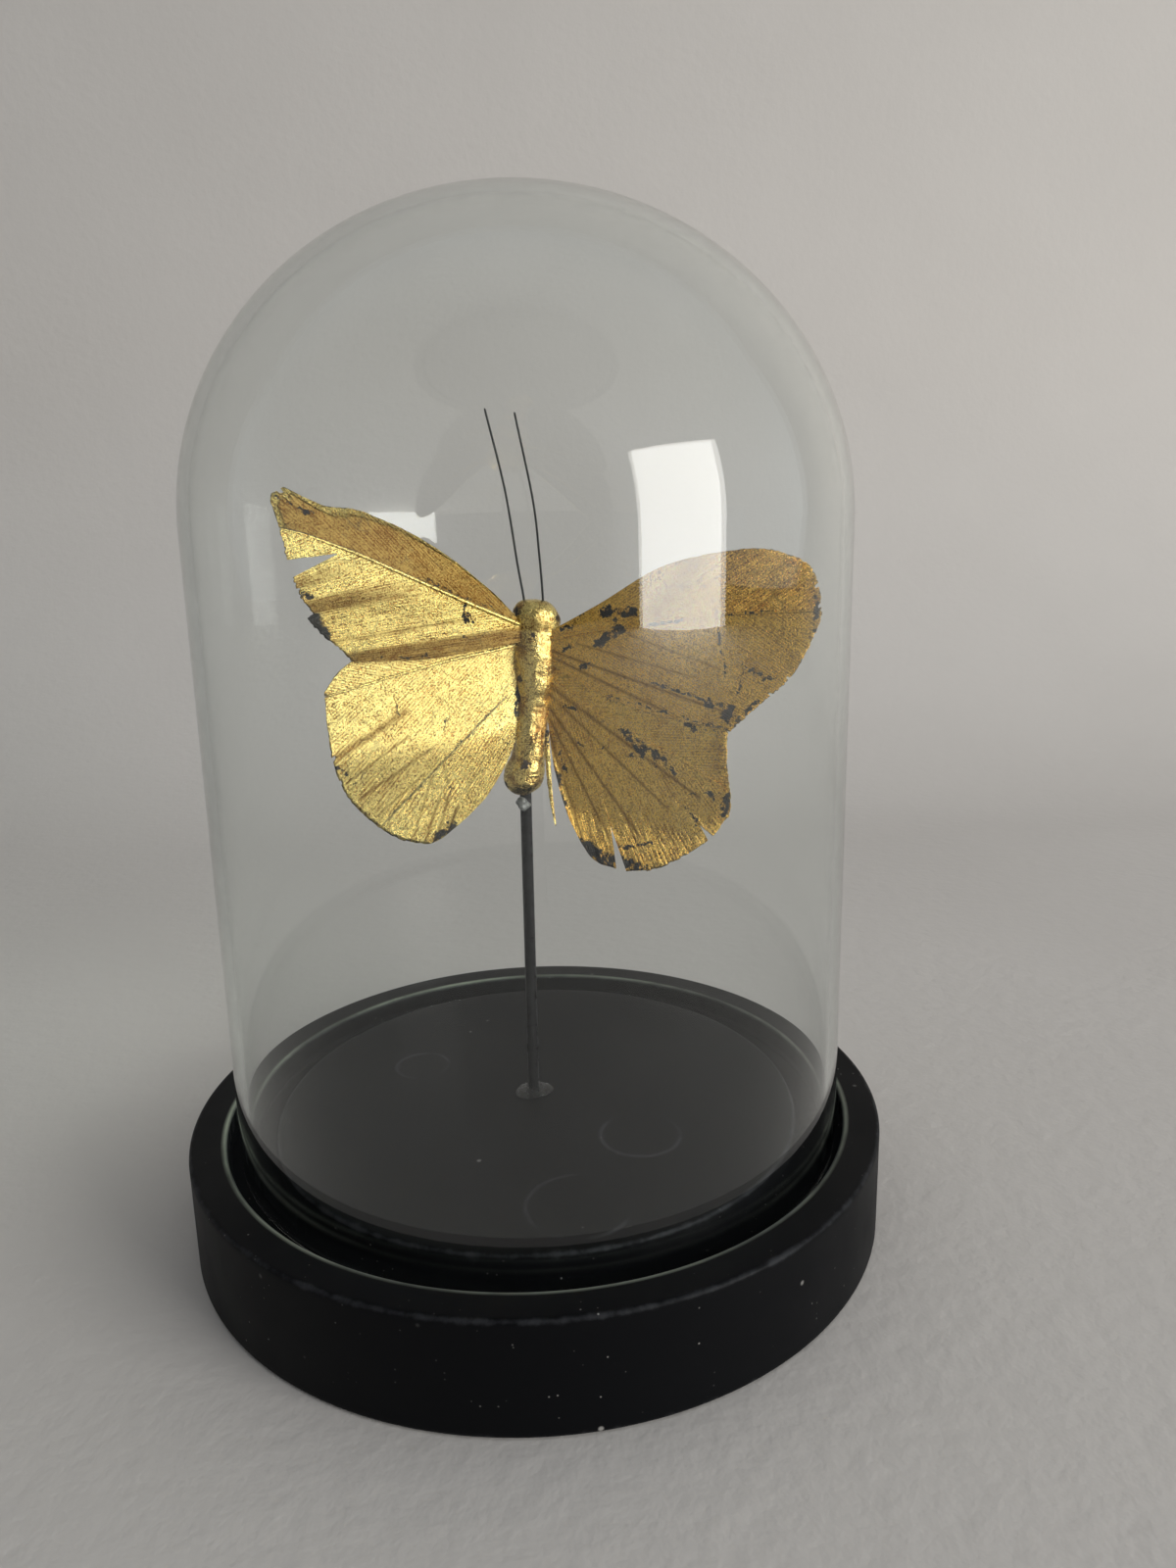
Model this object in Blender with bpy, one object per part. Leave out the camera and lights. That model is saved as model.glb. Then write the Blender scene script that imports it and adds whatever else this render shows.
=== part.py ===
"""Gilded feather butterfly on a rod, under a glass dome on a turned black base.

Metres, +Z up. The origin is the middle of the base's underside, and the butterfly faces -Y.
The dome stands loose in the base's groove and lifts straight up.
"""

import math

import bmesh
import bpy
import numpy as np
from mathutils import Matrix, Vector

MM = 0.001
GAP = 0.3 * MM  # clearance between pieces that touch

# Base: a turned disc with a ring groove for the dome and a blind hole for the rod.
BASE_RADIUS = 85.0 * MM
BASE_HEIGHT = 26.0 * MM
GROOVE_INNER_RADIUS = 65.0 * MM
GROOVE_OUTER_RADIUS = 76.3 * MM
GROOVE_DEPTH = 5.0 * MM
BASE_EDGE_ROUND = 1.0 * MM
ROD_HOLE_DEPTH = 8.0 * MM

# Dome: a blown bell with a straight wall and a slightly flattened top.
DOME_RADIUS = 73.9 * MM
DOME_WALL = 2.5 * MM
DOME_TOP = 237.2 * MM
DOME_CROWN_RISE = 69.5 * MM
DOME_SHIFT_X = 0.7 * MM
DOME_LIP_ROUND = 0.8 * MM

# Rod and the two beads of glue that hold it.
ROD_RADIUS = 1.4 * MM
ROD_FOOT = Vector((-1.2, 1.3, 0.0)) * MM
ROD_LEAN_X = 0.007  # sideways run of the rod for each unit of height
ROD_TOP = 110.5 * MM
FOOT_GLUE_RADIUS = 5.0 * MM
FOOT_GLUE_HEIGHT = 1.2 * MM
TAIL_GLUE_RADIUS = 2.4 * MM
TAIL_GLUE_HEIGHT = 3.4 * MM

# Butterfly: the tail tip, and the body's lean to its left.
TAIL = Vector((-1.2, 1.3, 104.3)) * MM
BODY_LEAN = math.radians(5.9)
BODY_LENGTH = 46.9
SHOULDER = 36.0  # height of the wings' own origin above the tail, along the body
BODY_DEPTH_SHARE = 0.9  # the body is a little flatter front to back than it is wide

# Stations along the body in millimetres: height above the tail, sideways bow, half width.
BODY_STATIONS = (
    (0.9, -0.2, 2.3),
    (4.0, -0.1, 4.9),
    (8.0, 0.4, 4.6),
    (14.8, 1.6, 3.5),
    (23.7, 1.3, 3.5),
    (34.0, 1.2, 5.3),
    (39.0, 0.9, 4.8),
    (43.3, 0.3, 4.8),
    (46.0, 0.2, 3.2),
)

# Wings, in millimetres: distance out from the body's axis, and height above the shoulder.
# An outline is a row of smooth runs that meet at corners; a tear is two straight runs.
LEFT_DIHEDRAL = math.radians(26)
RIGHT_DIHEDRAL = math.radians(28)
WING_THICKNESS = 0.8 * MM
LEFT_FOREWING = (
    ((5.0, 6.4), (11.5, 12.3), (25.3, 21.3), (41.0, 27.4), (50.5, 28.3), (58.5, 31.3)),
    ((58.5, 31.3), (61.3, 29.0), (60.0, 23.0), (58.3, 16.7)),
    ((58.3, 16.7), (47.8, 18.5)),
    ((47.8, 18.5), (57.0, 13.2)),
    ((57.0, 13.2), (55.4, 9.0), (54.2, 5.0), (50.1, 1.2), (46.7, -1.3), (43.6, -4.2)),
    ((43.6, -4.2), (33.0, -3.6), (23.0, -2.6), (5.0, 1.0)),
    ((5.0, 1.0), (5.0, 6.4)),
)
LEFT_HINDWING = (
    ((4.9, 2.0), (23.0, 1.5), (38.0, -1.5), (43.6, -4.2)),
    ((43.6, -4.2), (46.6, -6.8), (49.2, -11.0)),
    ((49.2, -11.0), (48.7, -16.0), (47.1, -26.2), (43.0, -35.1), (34.5, -42.7),
     (27.0, -45.5), (21.7, -44.5), (11.7, -36.7), (6.3, -29.0)),
    ((6.3, -29.0), (4.4, -24.0), (3.9, -17.0), (4.1, -8.0), (4.9, 2.0)),
)
RIGHT_FOREWING = (
    ((6.4, 5.0), (17.3, 12.2), (28.0, 19.8), (37.2, 23.8), (49.0, 26.6), (54.3, 27.0)),
    ((54.3, 27.0), (62.4, 24.4), (65.9, 16.8), (65.3, 10.0), (61.6, 0.8), (55.5, -6.2),
     (49.5, -13.0)),
    ((49.5, -13.0), (33.6, -11.9), (19.3, -9.2), (6.9, -3.0)),
    ((6.9, -3.0), (6.4, 5.0)),
)
RIGHT_HINDWING = (
    ((6.9, -3.5), (25.0, -6.0), (42.0, -8.5), (49.0, -13.2)),
    ((49.0, -13.2), (49.6, -20.0), (51.6, -29.9), (50.6, -33.3), (48.3, -37.4)),
    ((48.3, -37.4), (44.2, -35.0)),
    ((44.2, -35.0), (47.4, -38.3)),
    ((47.4, -38.3), (42.5, -42.9), (34.8, -48.0), (27.1, -50.3)),
    ((27.1, -50.3), (23.0, -39.1)),
    ((23.0, -39.1), (25.6, -50.0)),
    ((25.6, -50.0), (19.1, -48.6), (13.5, -41.4), (8.8, -31.2), (5.9, -22.0)),
    ((5.9, -22.0), (6.6, -14.0), (6.9, -3.5)),
)
TAIL_STRIP = (
    ((5.5, -21.0), (7.0, -30.0), (10.2, -41.3)),
    ((10.2, -41.3), (8.3, -30.0), (6.8, -21.0)),
    ((6.8, -21.0), (5.5, -21.0)),
)

# Antennae: points on each wire, sideways and up from the tail in the upright frame.
ANTENNA_RADIUS = 0.3 * MM
LEFT_ANTENNA = ((1.8, 47.6), (0.7, 54.8), (-1.6, 71.5), (-5.4, 89.0))
RIGHT_ANTENNA = ((6.3, 47.4), (5.8, 56.5), (4.7, 69.0), (1.2, 88.1))

BASE_STEPS = 72  # facets around each turned piece
DOME_STEPS = 60
GLUE_STEPS = 24
ROD_SIDES = 24
BODY_SIDES = 28
CROWN_STEPS = 10
RUN_STEPS = 5  # straight pieces between two points of a smooth run


def clear_scene():
    for obj in list(bpy.data.objects):
        bpy.data.objects.remove(obj, do_unlink=True)


def finish(name, colour, roughness, metallic=0.0, transmission=0.0):
    """A Principled material of one colour."""
    material = bpy.data.materials.new(name)
    material.use_nodes = True
    shader = material.node_tree.nodes["Principled BSDF"]
    shader.inputs["Base Color"].default_value = (*colour, 1.0)
    shader.inputs["Roughness"].default_value = roughness
    shader.inputs["Metallic"].default_value = metallic
    shader.inputs["Transmission Weight"].default_value = transmission
    return material


def add_object(name, mesh, material):
    """Links a mesh to the scene as one smooth-shaded, named sub-part."""
    mesh.materials.append(material)
    mesh.shade_smooth()
    mesh.set_sharp_from_angle(angle=math.radians(35))
    obj = bpy.data.objects.new(name, mesh)
    bpy.context.scene.collection.objects.link(obj)
    return obj


def smooth_run(points, steps=RUN_STEPS):
    """Catmull-Rom curve through the points, ending one step short of the last one."""
    points = [np.array(point, float) for point in points]
    if len(points) == 2:
        return [points[0]]
    padded = [2 * points[0] - points[1], *points, 2 * points[-1] - points[-2]]
    curve = []
    for before, start, end, after in zip(padded, padded[1:], padded[2:], padded[3:]):
        for step in range(steps):
            t = step / steps
            curve.append(
                start
                + 0.5 * t * (end - before)
                + t * t * (before - 2.5 * start + 2 * end - 0.5 * after)
                + t * t * t * (-0.5 * before + 1.5 * start - 1.5 * end + 0.5 * after)
            )
    return curve


def turned(name, profile, material, steps, edge_round=0.0):
    """A profile in the XZ plane, top to bottom down its outer side, turned about Z."""
    mesh = bpy.data.meshes.new(name)
    count = len(profile)
    edges = [(i, i + 1) for i in range(count - 1)]
    if profile[0][0] > 0:
        edges.append((count - 1, 0))
    mesh.from_pydata([(x, 0.0, z) for x, z in profile], edges, [])
    obj = add_object(name, mesh, material)
    screw = obj.modifiers.new("turn", "SCREW")
    screw.axis = "Z"
    screw.steps = screw.render_steps = steps
    screw.use_merge_vertices = True
    screw.merge_threshold = 0.01 * MM
    screw.use_smooth_shade = True
    if edge_round:
        bevel = obj.modifiers.new("round_edges", "BEVEL")
        bevel.limit_method = "ANGLE"
        bevel.angle_limit = math.radians(50)
        bevel.width = edge_round
        bevel.segments = 2
    return obj


def rod_point(height):
    return ROD_FOOT + Vector((ROD_LEAN_X * height, 0.0, height))


def cylinder_between(name, low, high, radius, material):
    """A closed cylinder whose end faces are centred on two points."""
    mesh = bpy.data.meshes.new(name)
    shape = bmesh.new()
    axis = high - low
    place = Matrix.Translation((low + high) / 2) @ axis.to_track_quat("Z", "Y").to_matrix().to_4x4()
    bmesh.ops.create_cone(
        shape, cap_ends=True, segments=ROD_SIDES, radius1=radius, radius2=radius,
        depth=axis.length, matrix=place,
    )
    shape.to_mesh(mesh)
    shape.free()
    return add_object(name, mesh, material)


def cut_hole(obj, low, high, radius):
    """Drills a round hole with a hidden cutter and the EXACT Boolean."""
    cutter = cylinder_between(obj.name + "_cutter", low, high, radius, obj.data.materials[0])
    cutter.hide_render = True
    cutter.display_type = "WIRE"
    cut = obj.modifiers.new("rod_hole", "BOOLEAN")
    cut.operation = "DIFFERENCE"
    cut.solver = "EXACT"
    cut.object = cutter


def add_base(material):
    groove_floor = BASE_HEIGHT - GROOVE_DEPTH
    profile = (
        (0.0, BASE_HEIGHT),
        (GROOVE_INNER_RADIUS, BASE_HEIGHT),
        (GROOVE_INNER_RADIUS, groove_floor),
        (GROOVE_OUTER_RADIUS, groove_floor),
        (GROOVE_OUTER_RADIUS, BASE_HEIGHT),
        (BASE_RADIUS, BASE_HEIGHT),
        (BASE_RADIUS, 0.0),
        (0.0, 0.0),
    )
    base = turned("base", profile, material, BASE_STEPS, BASE_EDGE_ROUND)
    hole_floor = BASE_HEIGHT - ROD_HOLE_DEPTH
    above = BASE_HEIGHT + 2 * MM
    cut_hole(base, rod_point(hole_floor), rod_point(above), ROD_RADIUS + GAP)
    return base


def add_dome(material):
    """Outer crown, outer wall, lip, inner wall and inner crown, open at the bottom."""
    foot = BASE_HEIGHT - GROOVE_DEPTH + GAP
    spring = DOME_TOP - DOME_CROWN_RISE
    angles = [math.pi / 2 * i / CROWN_STEPS for i in range(CROWN_STEPS + 1)]
    outer = [(DOME_RADIUS * math.sin(a), spring + DOME_CROWN_RISE * math.cos(a)) for a in angles]
    inner_radius = DOME_RADIUS - DOME_WALL
    inner_rise = DOME_CROWN_RISE - DOME_WALL
    inner = [(inner_radius * math.sin(a), spring + inner_rise * math.cos(a)) for a in reversed(angles)]
    profile = [*outer, (DOME_RADIUS, foot), (inner_radius, foot), *inner]
    dome = turned("glass_dome", profile, material, DOME_STEPS, DOME_LIP_ROUND)
    dome.location.x = DOME_SHIFT_X
    return dome


def add_rod(material):
    low = rod_point(BASE_HEIGHT - ROD_HOLE_DEPTH + GAP)
    return cylinder_between("rod", low, rod_point(ROD_TOP), ROD_RADIUS, material)


def glue_ring(name, profile, height, material):
    """A closed turned bead around the rod, placed on the rod's line at a height."""
    bead = turned(name, profile, material, GLUE_STEPS)
    bead.location = rod_point(height)
    return bead


def add_foot_glue(material):
    inner = ROD_RADIUS + GAP
    profile = (
        (inner, FOOT_GLUE_HEIGHT),
        (inner + 0.5 * MM, 0.8 * FOOT_GLUE_HEIGHT),
        (0.75 * FOOT_GLUE_RADIUS, 0.5 * FOOT_GLUE_HEIGHT),
        (FOOT_GLUE_RADIUS, 0.0),
        (inner, 0.0),
    )
    return glue_ring("foot_glue", profile, BASE_HEIGHT + GAP, material)


def add_tail_glue(material):
    inner = ROD_RADIUS + GAP
    profile = (
        (inner + 0.4 * MM, TAIL_GLUE_HEIGHT),
        (TAIL_GLUE_RADIUS, 0.6 * TAIL_GLUE_HEIGHT),
        (inner + 0.3 * MM, 0.0),
        (inner, 0.1 * TAIL_GLUE_HEIGHT),
        (inner, TAIL_GLUE_HEIGHT),
    )
    low = TAIL.z - GAP - TAIL_GLUE_HEIGHT
    return glue_ring("tail_glue", profile, low, material)


def body_frame():
    """An empty at the tail tip whose Z runs up the body."""
    empty = bpy.data.objects.new("butterfly", None)
    empty.location = TAIL
    empty.rotation_euler = (0.0, BODY_LEAN, 0.0)
    bpy.context.scene.collection.objects.link(empty)
    return empty


def add_body(frame, material):
    """Elliptical rings along the bowed centre line, closed by a point at tail and head."""
    stations = smooth_run(BODY_STATIONS, 3) + [np.array(BODY_STATIONS[-1])]
    vertices = [(BODY_STATIONS[0][1] * MM, 0.0, 0.0)]
    for height, bow, half in stations:
        for i in range(BODY_SIDES):
            angle = 2 * math.pi * i / BODY_SIDES
            x = bow + half * math.cos(angle)
            y = BODY_DEPTH_SHARE * half * math.sin(angle)
            vertices.append((x * MM, y * MM, height * MM))
    vertices.append((BODY_STATIONS[-1][1] * MM, 0.0, BODY_LENGTH * MM))
    head = len(vertices) - 1
    faces = []
    for i in range(BODY_SIDES):
        j = (i + 1) % BODY_SIDES
        faces.append((0, 1 + j, 1 + i))
        for ring in range(len(stations) - 1):
            low, high = 1 + ring * BODY_SIDES, 1 + (ring + 1) * BODY_SIDES
            faces.append((low + i, low + j, high + j, high + i))
        faces.append((head - BODY_SIDES + i, head - BODY_SIDES + j, head))
    mesh = bpy.data.meshes.new("body")
    mesh.from_pydata(vertices, [], faces)
    body = add_object("body", mesh, material)
    body.parent = frame
    cut_hole(body, rod_point(TAIL.z - 4 * MM), rod_point(ROD_TOP + GAP), ROD_RADIUS + GAP)
    return body


def add_wing(frame, name, runs, turn, front, layer, material):
    """A flat plate of the outline, turned about the body's axis.

    front is the side of the plate's own Y that faces the viewer, and layer puts the plate
    before (1) or behind (-1) the plane through the body's axis.
    """
    outline = [point for run in runs for point in smooth_run(run)]
    mesh = bpy.data.meshes.new(name)
    near = front * layer * GAP
    mesh.from_pydata([(u * MM, near, v * MM) for u, v in outline], [], [range(len(outline))])
    wing = add_object(name, mesh, material)
    solid = wing.modifiers.new("thickness", "SOLIDIFY")
    solid.thickness = WING_THICKNESS
    facing = mesh.polygons[0].normal.y
    solid.offset = 1.0 if facing * front * layer > 0 else -1.0
    wing.parent = frame
    wing.location = (0.0, 0.0, SHOULDER * MM)
    wing.rotation_euler = (0.0, 0.0, turn)
    return wing


def add_antenna(name, points, material):
    """A thin wire along a smooth curve in the plane of the rod."""
    line = smooth_run(points, 4) + [np.array(points[-1])]
    curve = bpy.data.curves.new(name, "CURVE")
    curve.dimensions = "3D"
    curve.bevel_depth = ANTENNA_RADIUS
    curve.bevel_resolution = 2
    curve.use_fill_caps = True
    spline = curve.splines.new("POLY")
    spline.points.add(len(line) - 1)
    for point, (x, z) in zip(spline.points, line):
        point.co = (TAIL.x + x * MM, TAIL.y, TAIL.z + z * MM, 1.0)
    curve.materials.append(material)
    wire = bpy.data.objects.new(name, curve)
    bpy.context.scene.collection.objects.link(wire)
    return wire


def main():
    clear_scene()
    black_wood = finish("black_wood", (0.012, 0.013, 0.016), 0.45)
    clear_glass = finish("clear_glass", (0.95, 0.98, 0.96), 0.02, transmission=1.0)
    black_steel = finish("black_steel", (0.02, 0.02, 0.022), 0.35, metallic=0.6)
    clear_glue = finish("clear_glue", (0.75, 0.77, 0.74), 0.25, transmission=0.5)
    gold_leaf = finish("gold_leaf", (0.62, 0.42, 0.13), 0.38, metallic=1.0)
    black_wire = finish("black_wire", (0.04, 0.04, 0.038), 0.45)

    add_base(black_wood)
    add_dome(clear_glass)
    add_rod(black_steel)
    add_foot_glue(clear_glue)
    add_tail_glue(clear_glue)

    frame = body_frame()
    add_body(frame, gold_leaf)
    left_turn = math.pi + LEFT_DIHEDRAL
    right_turn = -RIGHT_DIHEDRAL
    add_wing(frame, "left_forewing", LEFT_FOREWING, left_turn, 1, 1, gold_leaf)
    add_wing(frame, "left_hindwing", LEFT_HINDWING, left_turn, 1, -1, gold_leaf)
    add_wing(frame, "right_forewing", RIGHT_FOREWING, right_turn, -1, 1, gold_leaf)
    add_wing(frame, "right_hindwing", RIGHT_HINDWING, right_turn, -1, -1, gold_leaf)
    add_wing(frame, "tail_strip", TAIL_STRIP, right_turn, -1, 1, gold_leaf)
    add_antenna("left_antenna", LEFT_ANTENNA, black_wire)
    add_antenna("right_antenna", RIGHT_ANTENNA, black_wire)


main()
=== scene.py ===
"""Gilded feather butterfly under a glass dome: the finish of every piece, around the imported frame.

Metres, +Z up. The butterfly faces -Y; lengths named in millimetres are multiplied by MM.
"""

import math

import bmesh
import bpy
import numpy as np
from mathutils import Matrix, Vector


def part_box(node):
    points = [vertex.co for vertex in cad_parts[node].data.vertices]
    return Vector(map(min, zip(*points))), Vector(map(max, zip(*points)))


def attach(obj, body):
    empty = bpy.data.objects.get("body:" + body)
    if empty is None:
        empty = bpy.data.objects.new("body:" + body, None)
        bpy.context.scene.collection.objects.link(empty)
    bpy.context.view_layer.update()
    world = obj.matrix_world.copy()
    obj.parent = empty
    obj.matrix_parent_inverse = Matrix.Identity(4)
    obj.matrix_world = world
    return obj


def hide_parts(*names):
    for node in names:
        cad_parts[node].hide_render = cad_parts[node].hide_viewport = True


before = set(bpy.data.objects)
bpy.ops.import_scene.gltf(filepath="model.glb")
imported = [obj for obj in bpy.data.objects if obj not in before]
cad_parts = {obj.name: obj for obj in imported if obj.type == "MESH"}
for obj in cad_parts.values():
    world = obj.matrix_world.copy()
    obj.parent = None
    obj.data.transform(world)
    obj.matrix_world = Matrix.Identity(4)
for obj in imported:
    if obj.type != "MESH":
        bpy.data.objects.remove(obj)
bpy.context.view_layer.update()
MM = 0.001


# ---------------------------------------------------------------------------------------
# Base: a turned disc of wood, lacquered satin black, with a ring groove for the dome.
# It stands on its flat underside; its corners are slightly rounded and rubbed pale, and a painted highlight
# runs along the groove's outer lip.

BASE_LOW, BASE_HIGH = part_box("base")
BASE_RADIUS = BASE_HIGH.x
BASE_TOP = BASE_HIGH.z
GROOVE_INNER = 65.0 * MM
GROOVE_OUTER = 76.3 * MM
GROOVE_FLOOR = BASE_TOP - 5.0 * MM
BASE_ROUND = 1.0 * MM
BASE_STEPS = 256
BLACK_LACQUER = (0.0030, 0.0034, 0.0044, 1.0)
RUBBED_LACQUER = (0.10, 0.105, 0.115, 1.0)
# painted highlight colour for the groove's outer lip
LIP_PAINTED_HIGHLIGHT = (0.32, 0.35, 0.29, 1.0)
DUST_COLOUR = (0.42, 0.41, 0.39, 1.0)
RING_STAINS = ((24.0, -22.0, 9.5), (8.0, -49.0, 11.5), (-31.0, 18.0, 7.0))  # x, y, radius in mm


def fill(tree, sockets, values):
    """Gives each input its value, or links it to another node's output."""
    for key, value in values.items():
        if isinstance(value, bpy.types.NodeSocket):
            tree.links.new(value, sockets[key])
        else:
            sockets[key].default_value = value


def put(tree, kind, inputs=None, **settings):
    """Adds a shader node, sets its options and fills its inputs."""
    node = tree.nodes.new("ShaderNode" + kind)
    for key, value in settings.items():
        setattr(node, key, value)
    fill(tree, node.inputs, inputs or {})
    return node


def calc(tree, operation, *values):
    """One Math node on values or sockets."""
    return put(tree, "Math", dict(enumerate(values)), operation=operation).outputs[0]


def vector_calc(tree, operation, first, second):
    """One Vector Math node on two vectors, or on a vector and a number to SCALE it by."""
    node = put(tree, "VectorMath", {0: first, 3 if operation == "SCALE" else 1: second}, operation=operation)
    return node.outputs["Value" if operation in ("DISTANCE", "DOT_PRODUCT") else "Vector"]


def ramp(tree, value, low, high, start=0.0, end=1.0):
    """A value that runs smoothly from start to end as another runs from low to high."""
    inputs = {0: value, 1: low, 2: high, 3: start, 4: end}
    return put(tree, "MapRange", inputs, interpolation_type="SMOOTHSTEP").outputs[0]


def tint(tree, factor, first, second, way="MIX"):
    """Mixes two colours by a factor."""
    node = put(tree, "Mix", {0: factor, 6: first, 7: second}, data_type="RGBA", blend_type=way)
    return node.outputs[2]


def noise(tree, vector, scale, detail=3.0, roughness=0.55, distortion=0.0):
    """Noise between 0 and 1; scale is in features per metre."""
    inputs = {"Vector": vector, "Scale": scale, "Detail": detail, "Roughness": roughness,
              "Distortion": distortion}
    return put(tree, "TexNoise", inputs).outputs["Fac"]


def attribute(tree, name):
    """A point attribute of the piece's own mesh."""
    return put(tree, "Attribute", attribute_name=name).outputs["Fac"]


def object_place(tree):
    """The object's own coordinates."""
    return put(tree, "TexCoord").outputs["Object"]


def new_group(name, inputs, outputs):
    """An empty node group and its input and output sockets."""
    group = bpy.data.node_groups.new(name, "ShaderNodeTree")
    for label, kind, value in inputs:
        socket = group.interface.new_socket(label, in_out="INPUT", socket_type="NodeSocket" + kind)
        if value is not None:
            socket.default_value = value
    for label, kind in outputs:
        group.interface.new_socket(label, in_out="OUTPUT", socket_type="NodeSocket" + kind)
    return group, group.nodes.new("NodeGroupInput").outputs, group.nodes.new("NodeGroupOutput").inputs


def use_group(tree, group, inputs):
    """Places a node group in a material and fills its inputs."""
    node = put(tree, "Group")
    node.node_tree = group
    fill(tree, node.inputs, inputs)
    return node.outputs


def new_material(name):
    """A material with an empty Principled shader; returns it, its tree and the shader."""
    material = bpy.data.materials.new(name)
    material.use_nodes = True
    tree = material.node_tree
    return material, tree, tree.nodes["Principled BSDF"]


def feed(tree, shader, **inputs):
    """Fills the shader's inputs by name, with _ for a space."""
    fill(tree, shader.inputs, {key.replace("_", " "): value for key, value in inputs.items()})


def bump(tree, height, distance, strength=1.0):
    """A normal bent by a height between 0 and 1 over a distance in metres."""
    inputs = {"Height": height, "Distance": distance, "Strength": strength}
    return put(tree, "Bump", inputs).outputs["Normal"]


def dust_group():
    """Loose specks: round dots where cell noise is near its cell's centre, thinned by noise."""
    group, given, result = new_group(
        "dust_specks",
        (("Vector", "Vector", None), ("Scale", "Float", 700.0), ("Amount", "Float", 0.3)),
        (("Mask", "Float"),),
    )
    cells = put(group, "TexVoronoi", {"Vector": given["Vector"], "Scale": given["Scale"]})
    dots = ramp(group, cells.outputs["Distance"], 0.05, 0.16, 1.0, 0.0)
    chosen = put(group, "SeparateColor", {0: cells.outputs["Color"]}).outputs[0]
    kept = calc(group, "LESS_THAN", chosen, given["Amount"])
    clouds = ramp(group, noise(group, given["Vector"], 45.0, 4.0), 0.42, 0.68, 0.15, 1.0)
    group.links.new(calc(group, "MULTIPLY", calc(group, "MULTIPLY", dots, kept), clouds), result["Mask"])
    return group


def wear_group():
    """Rubbed corners: the edge attribute, broken up by noise and cut off by the wear amount."""
    group, given, result = new_group(
        "rubbed_edge",
        (("Vector", "Vector", None), ("Edge", "Float", 0.0), ("Wear", "Float", 0.5)),
        (("Mask", "Float"),),
    )
    rough = noise(group, given["Vector"], 260.0, 6.0, 0.65)
    reach = calc(group, "ADD", calc(group, "MULTIPLY", given["Edge"], given["Wear"]), rough)
    near = ramp(group, given["Edge"], 0.0, 0.3)
    group.links.new(calc(group, "MULTIPLY", ramp(group, reach, 0.72, 1.15), near), result["Mask"])
    return group


DUST = dust_group()
RUBBED_EDGE = wear_group()


def add_mesh(name, points, faces, material):
    """A piece from its points in metres and its quads."""
    mesh = bpy.data.meshes.new(name)
    mesh.from_pydata(points.reshape(-1, 3), [], faces.tolist())
    return add_piece(name, mesh, material)


def add_piece(name, mesh, material):
    """Merges a mesh's doubles, turns its faces out and links it as a smooth piece."""
    shape = bmesh.new()
    shape.from_mesh(mesh)
    bmesh.ops.remove_doubles(shape, verts=shape.verts, dist=1e-7)
    bmesh.ops.recalc_face_normals(shape, faces=shape.faces)
    shape.to_mesh(mesh)
    shape.free()
    mesh.shade_smooth()
    mesh.materials.append(material)
    piece = bpy.data.objects.new(name, mesh)
    bpy.context.scene.collection.objects.link(piece)
    return piece


def grid_faces(columns, rows, wrap_columns=False, wrap_rows=False):
    """Quads of a grid numbered column by column, closed round where asked."""
    i = np.arange(columns if wrap_columns else columns - 1)[:, None]
    j = np.arange(rows if wrap_rows else rows - 1)[None, :]
    right, above = (i + 1) % columns, (j + 1) % rows
    quads = [i * rows + j, right * rows + j, right * rows + above, i * rows + above]
    return np.stack([np.broadcast_to(q, (i.size, j.size)) for q in quads], -1).reshape(-1, 4)


def mark(piece, name, values):
    """Stores one number a point as a named attribute."""
    layer = piece.data.attributes.new(name, "FLOAT", "POINT")
    layer.data.foreach_set("value", np.asarray(values, np.float32).ravel())


def arc(centre, radius, start, end, steps=6):
    """Points on a circle from one angle to another, in degrees."""
    angle = np.radians(np.linspace(start, end, steps))
    return np.stack([centre[0] + radius * np.cos(angle), centre[1] + radius * np.sin(angle)], -1)


def spread(points, longest):
    """Adds points along a profile so that none are further apart than a given length."""
    points = np.asarray(points, float)
    gaps = np.linalg.norm(np.diff(points, axis=0), axis=1)
    counts = np.maximum(1, np.ceil(gaps / longest)).astype(int)
    parts = [np.linspace(a, b, n, endpoint=False) for a, b, n in zip(points, points[1:], counts)]
    return np.concatenate([*parts, points[-1:]])


def turned(name, profile, steps, material, closed=False, centre=(0.0, 0.0)):
    """A profile of (radius, height) turned about Z: (r cos a, r sin a, h) for a all round."""
    angle = np.arange(steps) * 2 * math.pi / steps
    radius, height = profile[:, 0], profile[:, 1]
    x = centre[0] + np.cos(angle)[:, None] * radius
    y = centre[1] + np.sin(angle)[:, None] * radius
    z = np.broadcast_to(height, x.shape)
    faces = grid_faces(steps, len(profile), True, closed)
    return add_mesh(name, np.stack([x, y, z], -1), faces, material)


def base_profile():
    """Underside, rounded outer corners, rim, groove and plateau, as one line from pole to pole."""
    low, top, r, deep = BASE_LOW.z, BASE_TOP, BASE_ROUND, GROOVE_FLOOR
    return np.concatenate([
        spread([(0.0, low), (BASE_RADIUS - r, low)], 8 * MM)[:-1],
        arc((BASE_RADIUS - r, low + r), r, -90, 0),
        spread([(BASE_RADIUS, low + r), (BASE_RADIUS, top - r)], 1 * MM)[1:-1],
        arc((BASE_RADIUS - r, top - r), r, 0, 90),
        spread([(BASE_RADIUS - r, top), (GROOVE_OUTER + r, top)], 0.6 * MM)[1:-1],
        arc((GROOVE_OUTER + r, top - r), r, 90, 180),
        spread([(GROOVE_OUTER, top - r), (GROOVE_OUTER, deep + r)], 1 * MM)[1:-1],
        arc((GROOVE_OUTER - r, deep + r), r, 0, -90),
        arc((GROOVE_INNER + r, deep + r), r, 270, 180),
        arc((GROOVE_INNER - r, top - r), r, 0, 90),
        spread([(GROOVE_INNER - r, top), (0.0, top)], 4 * MM)[1:],
    ])


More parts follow.
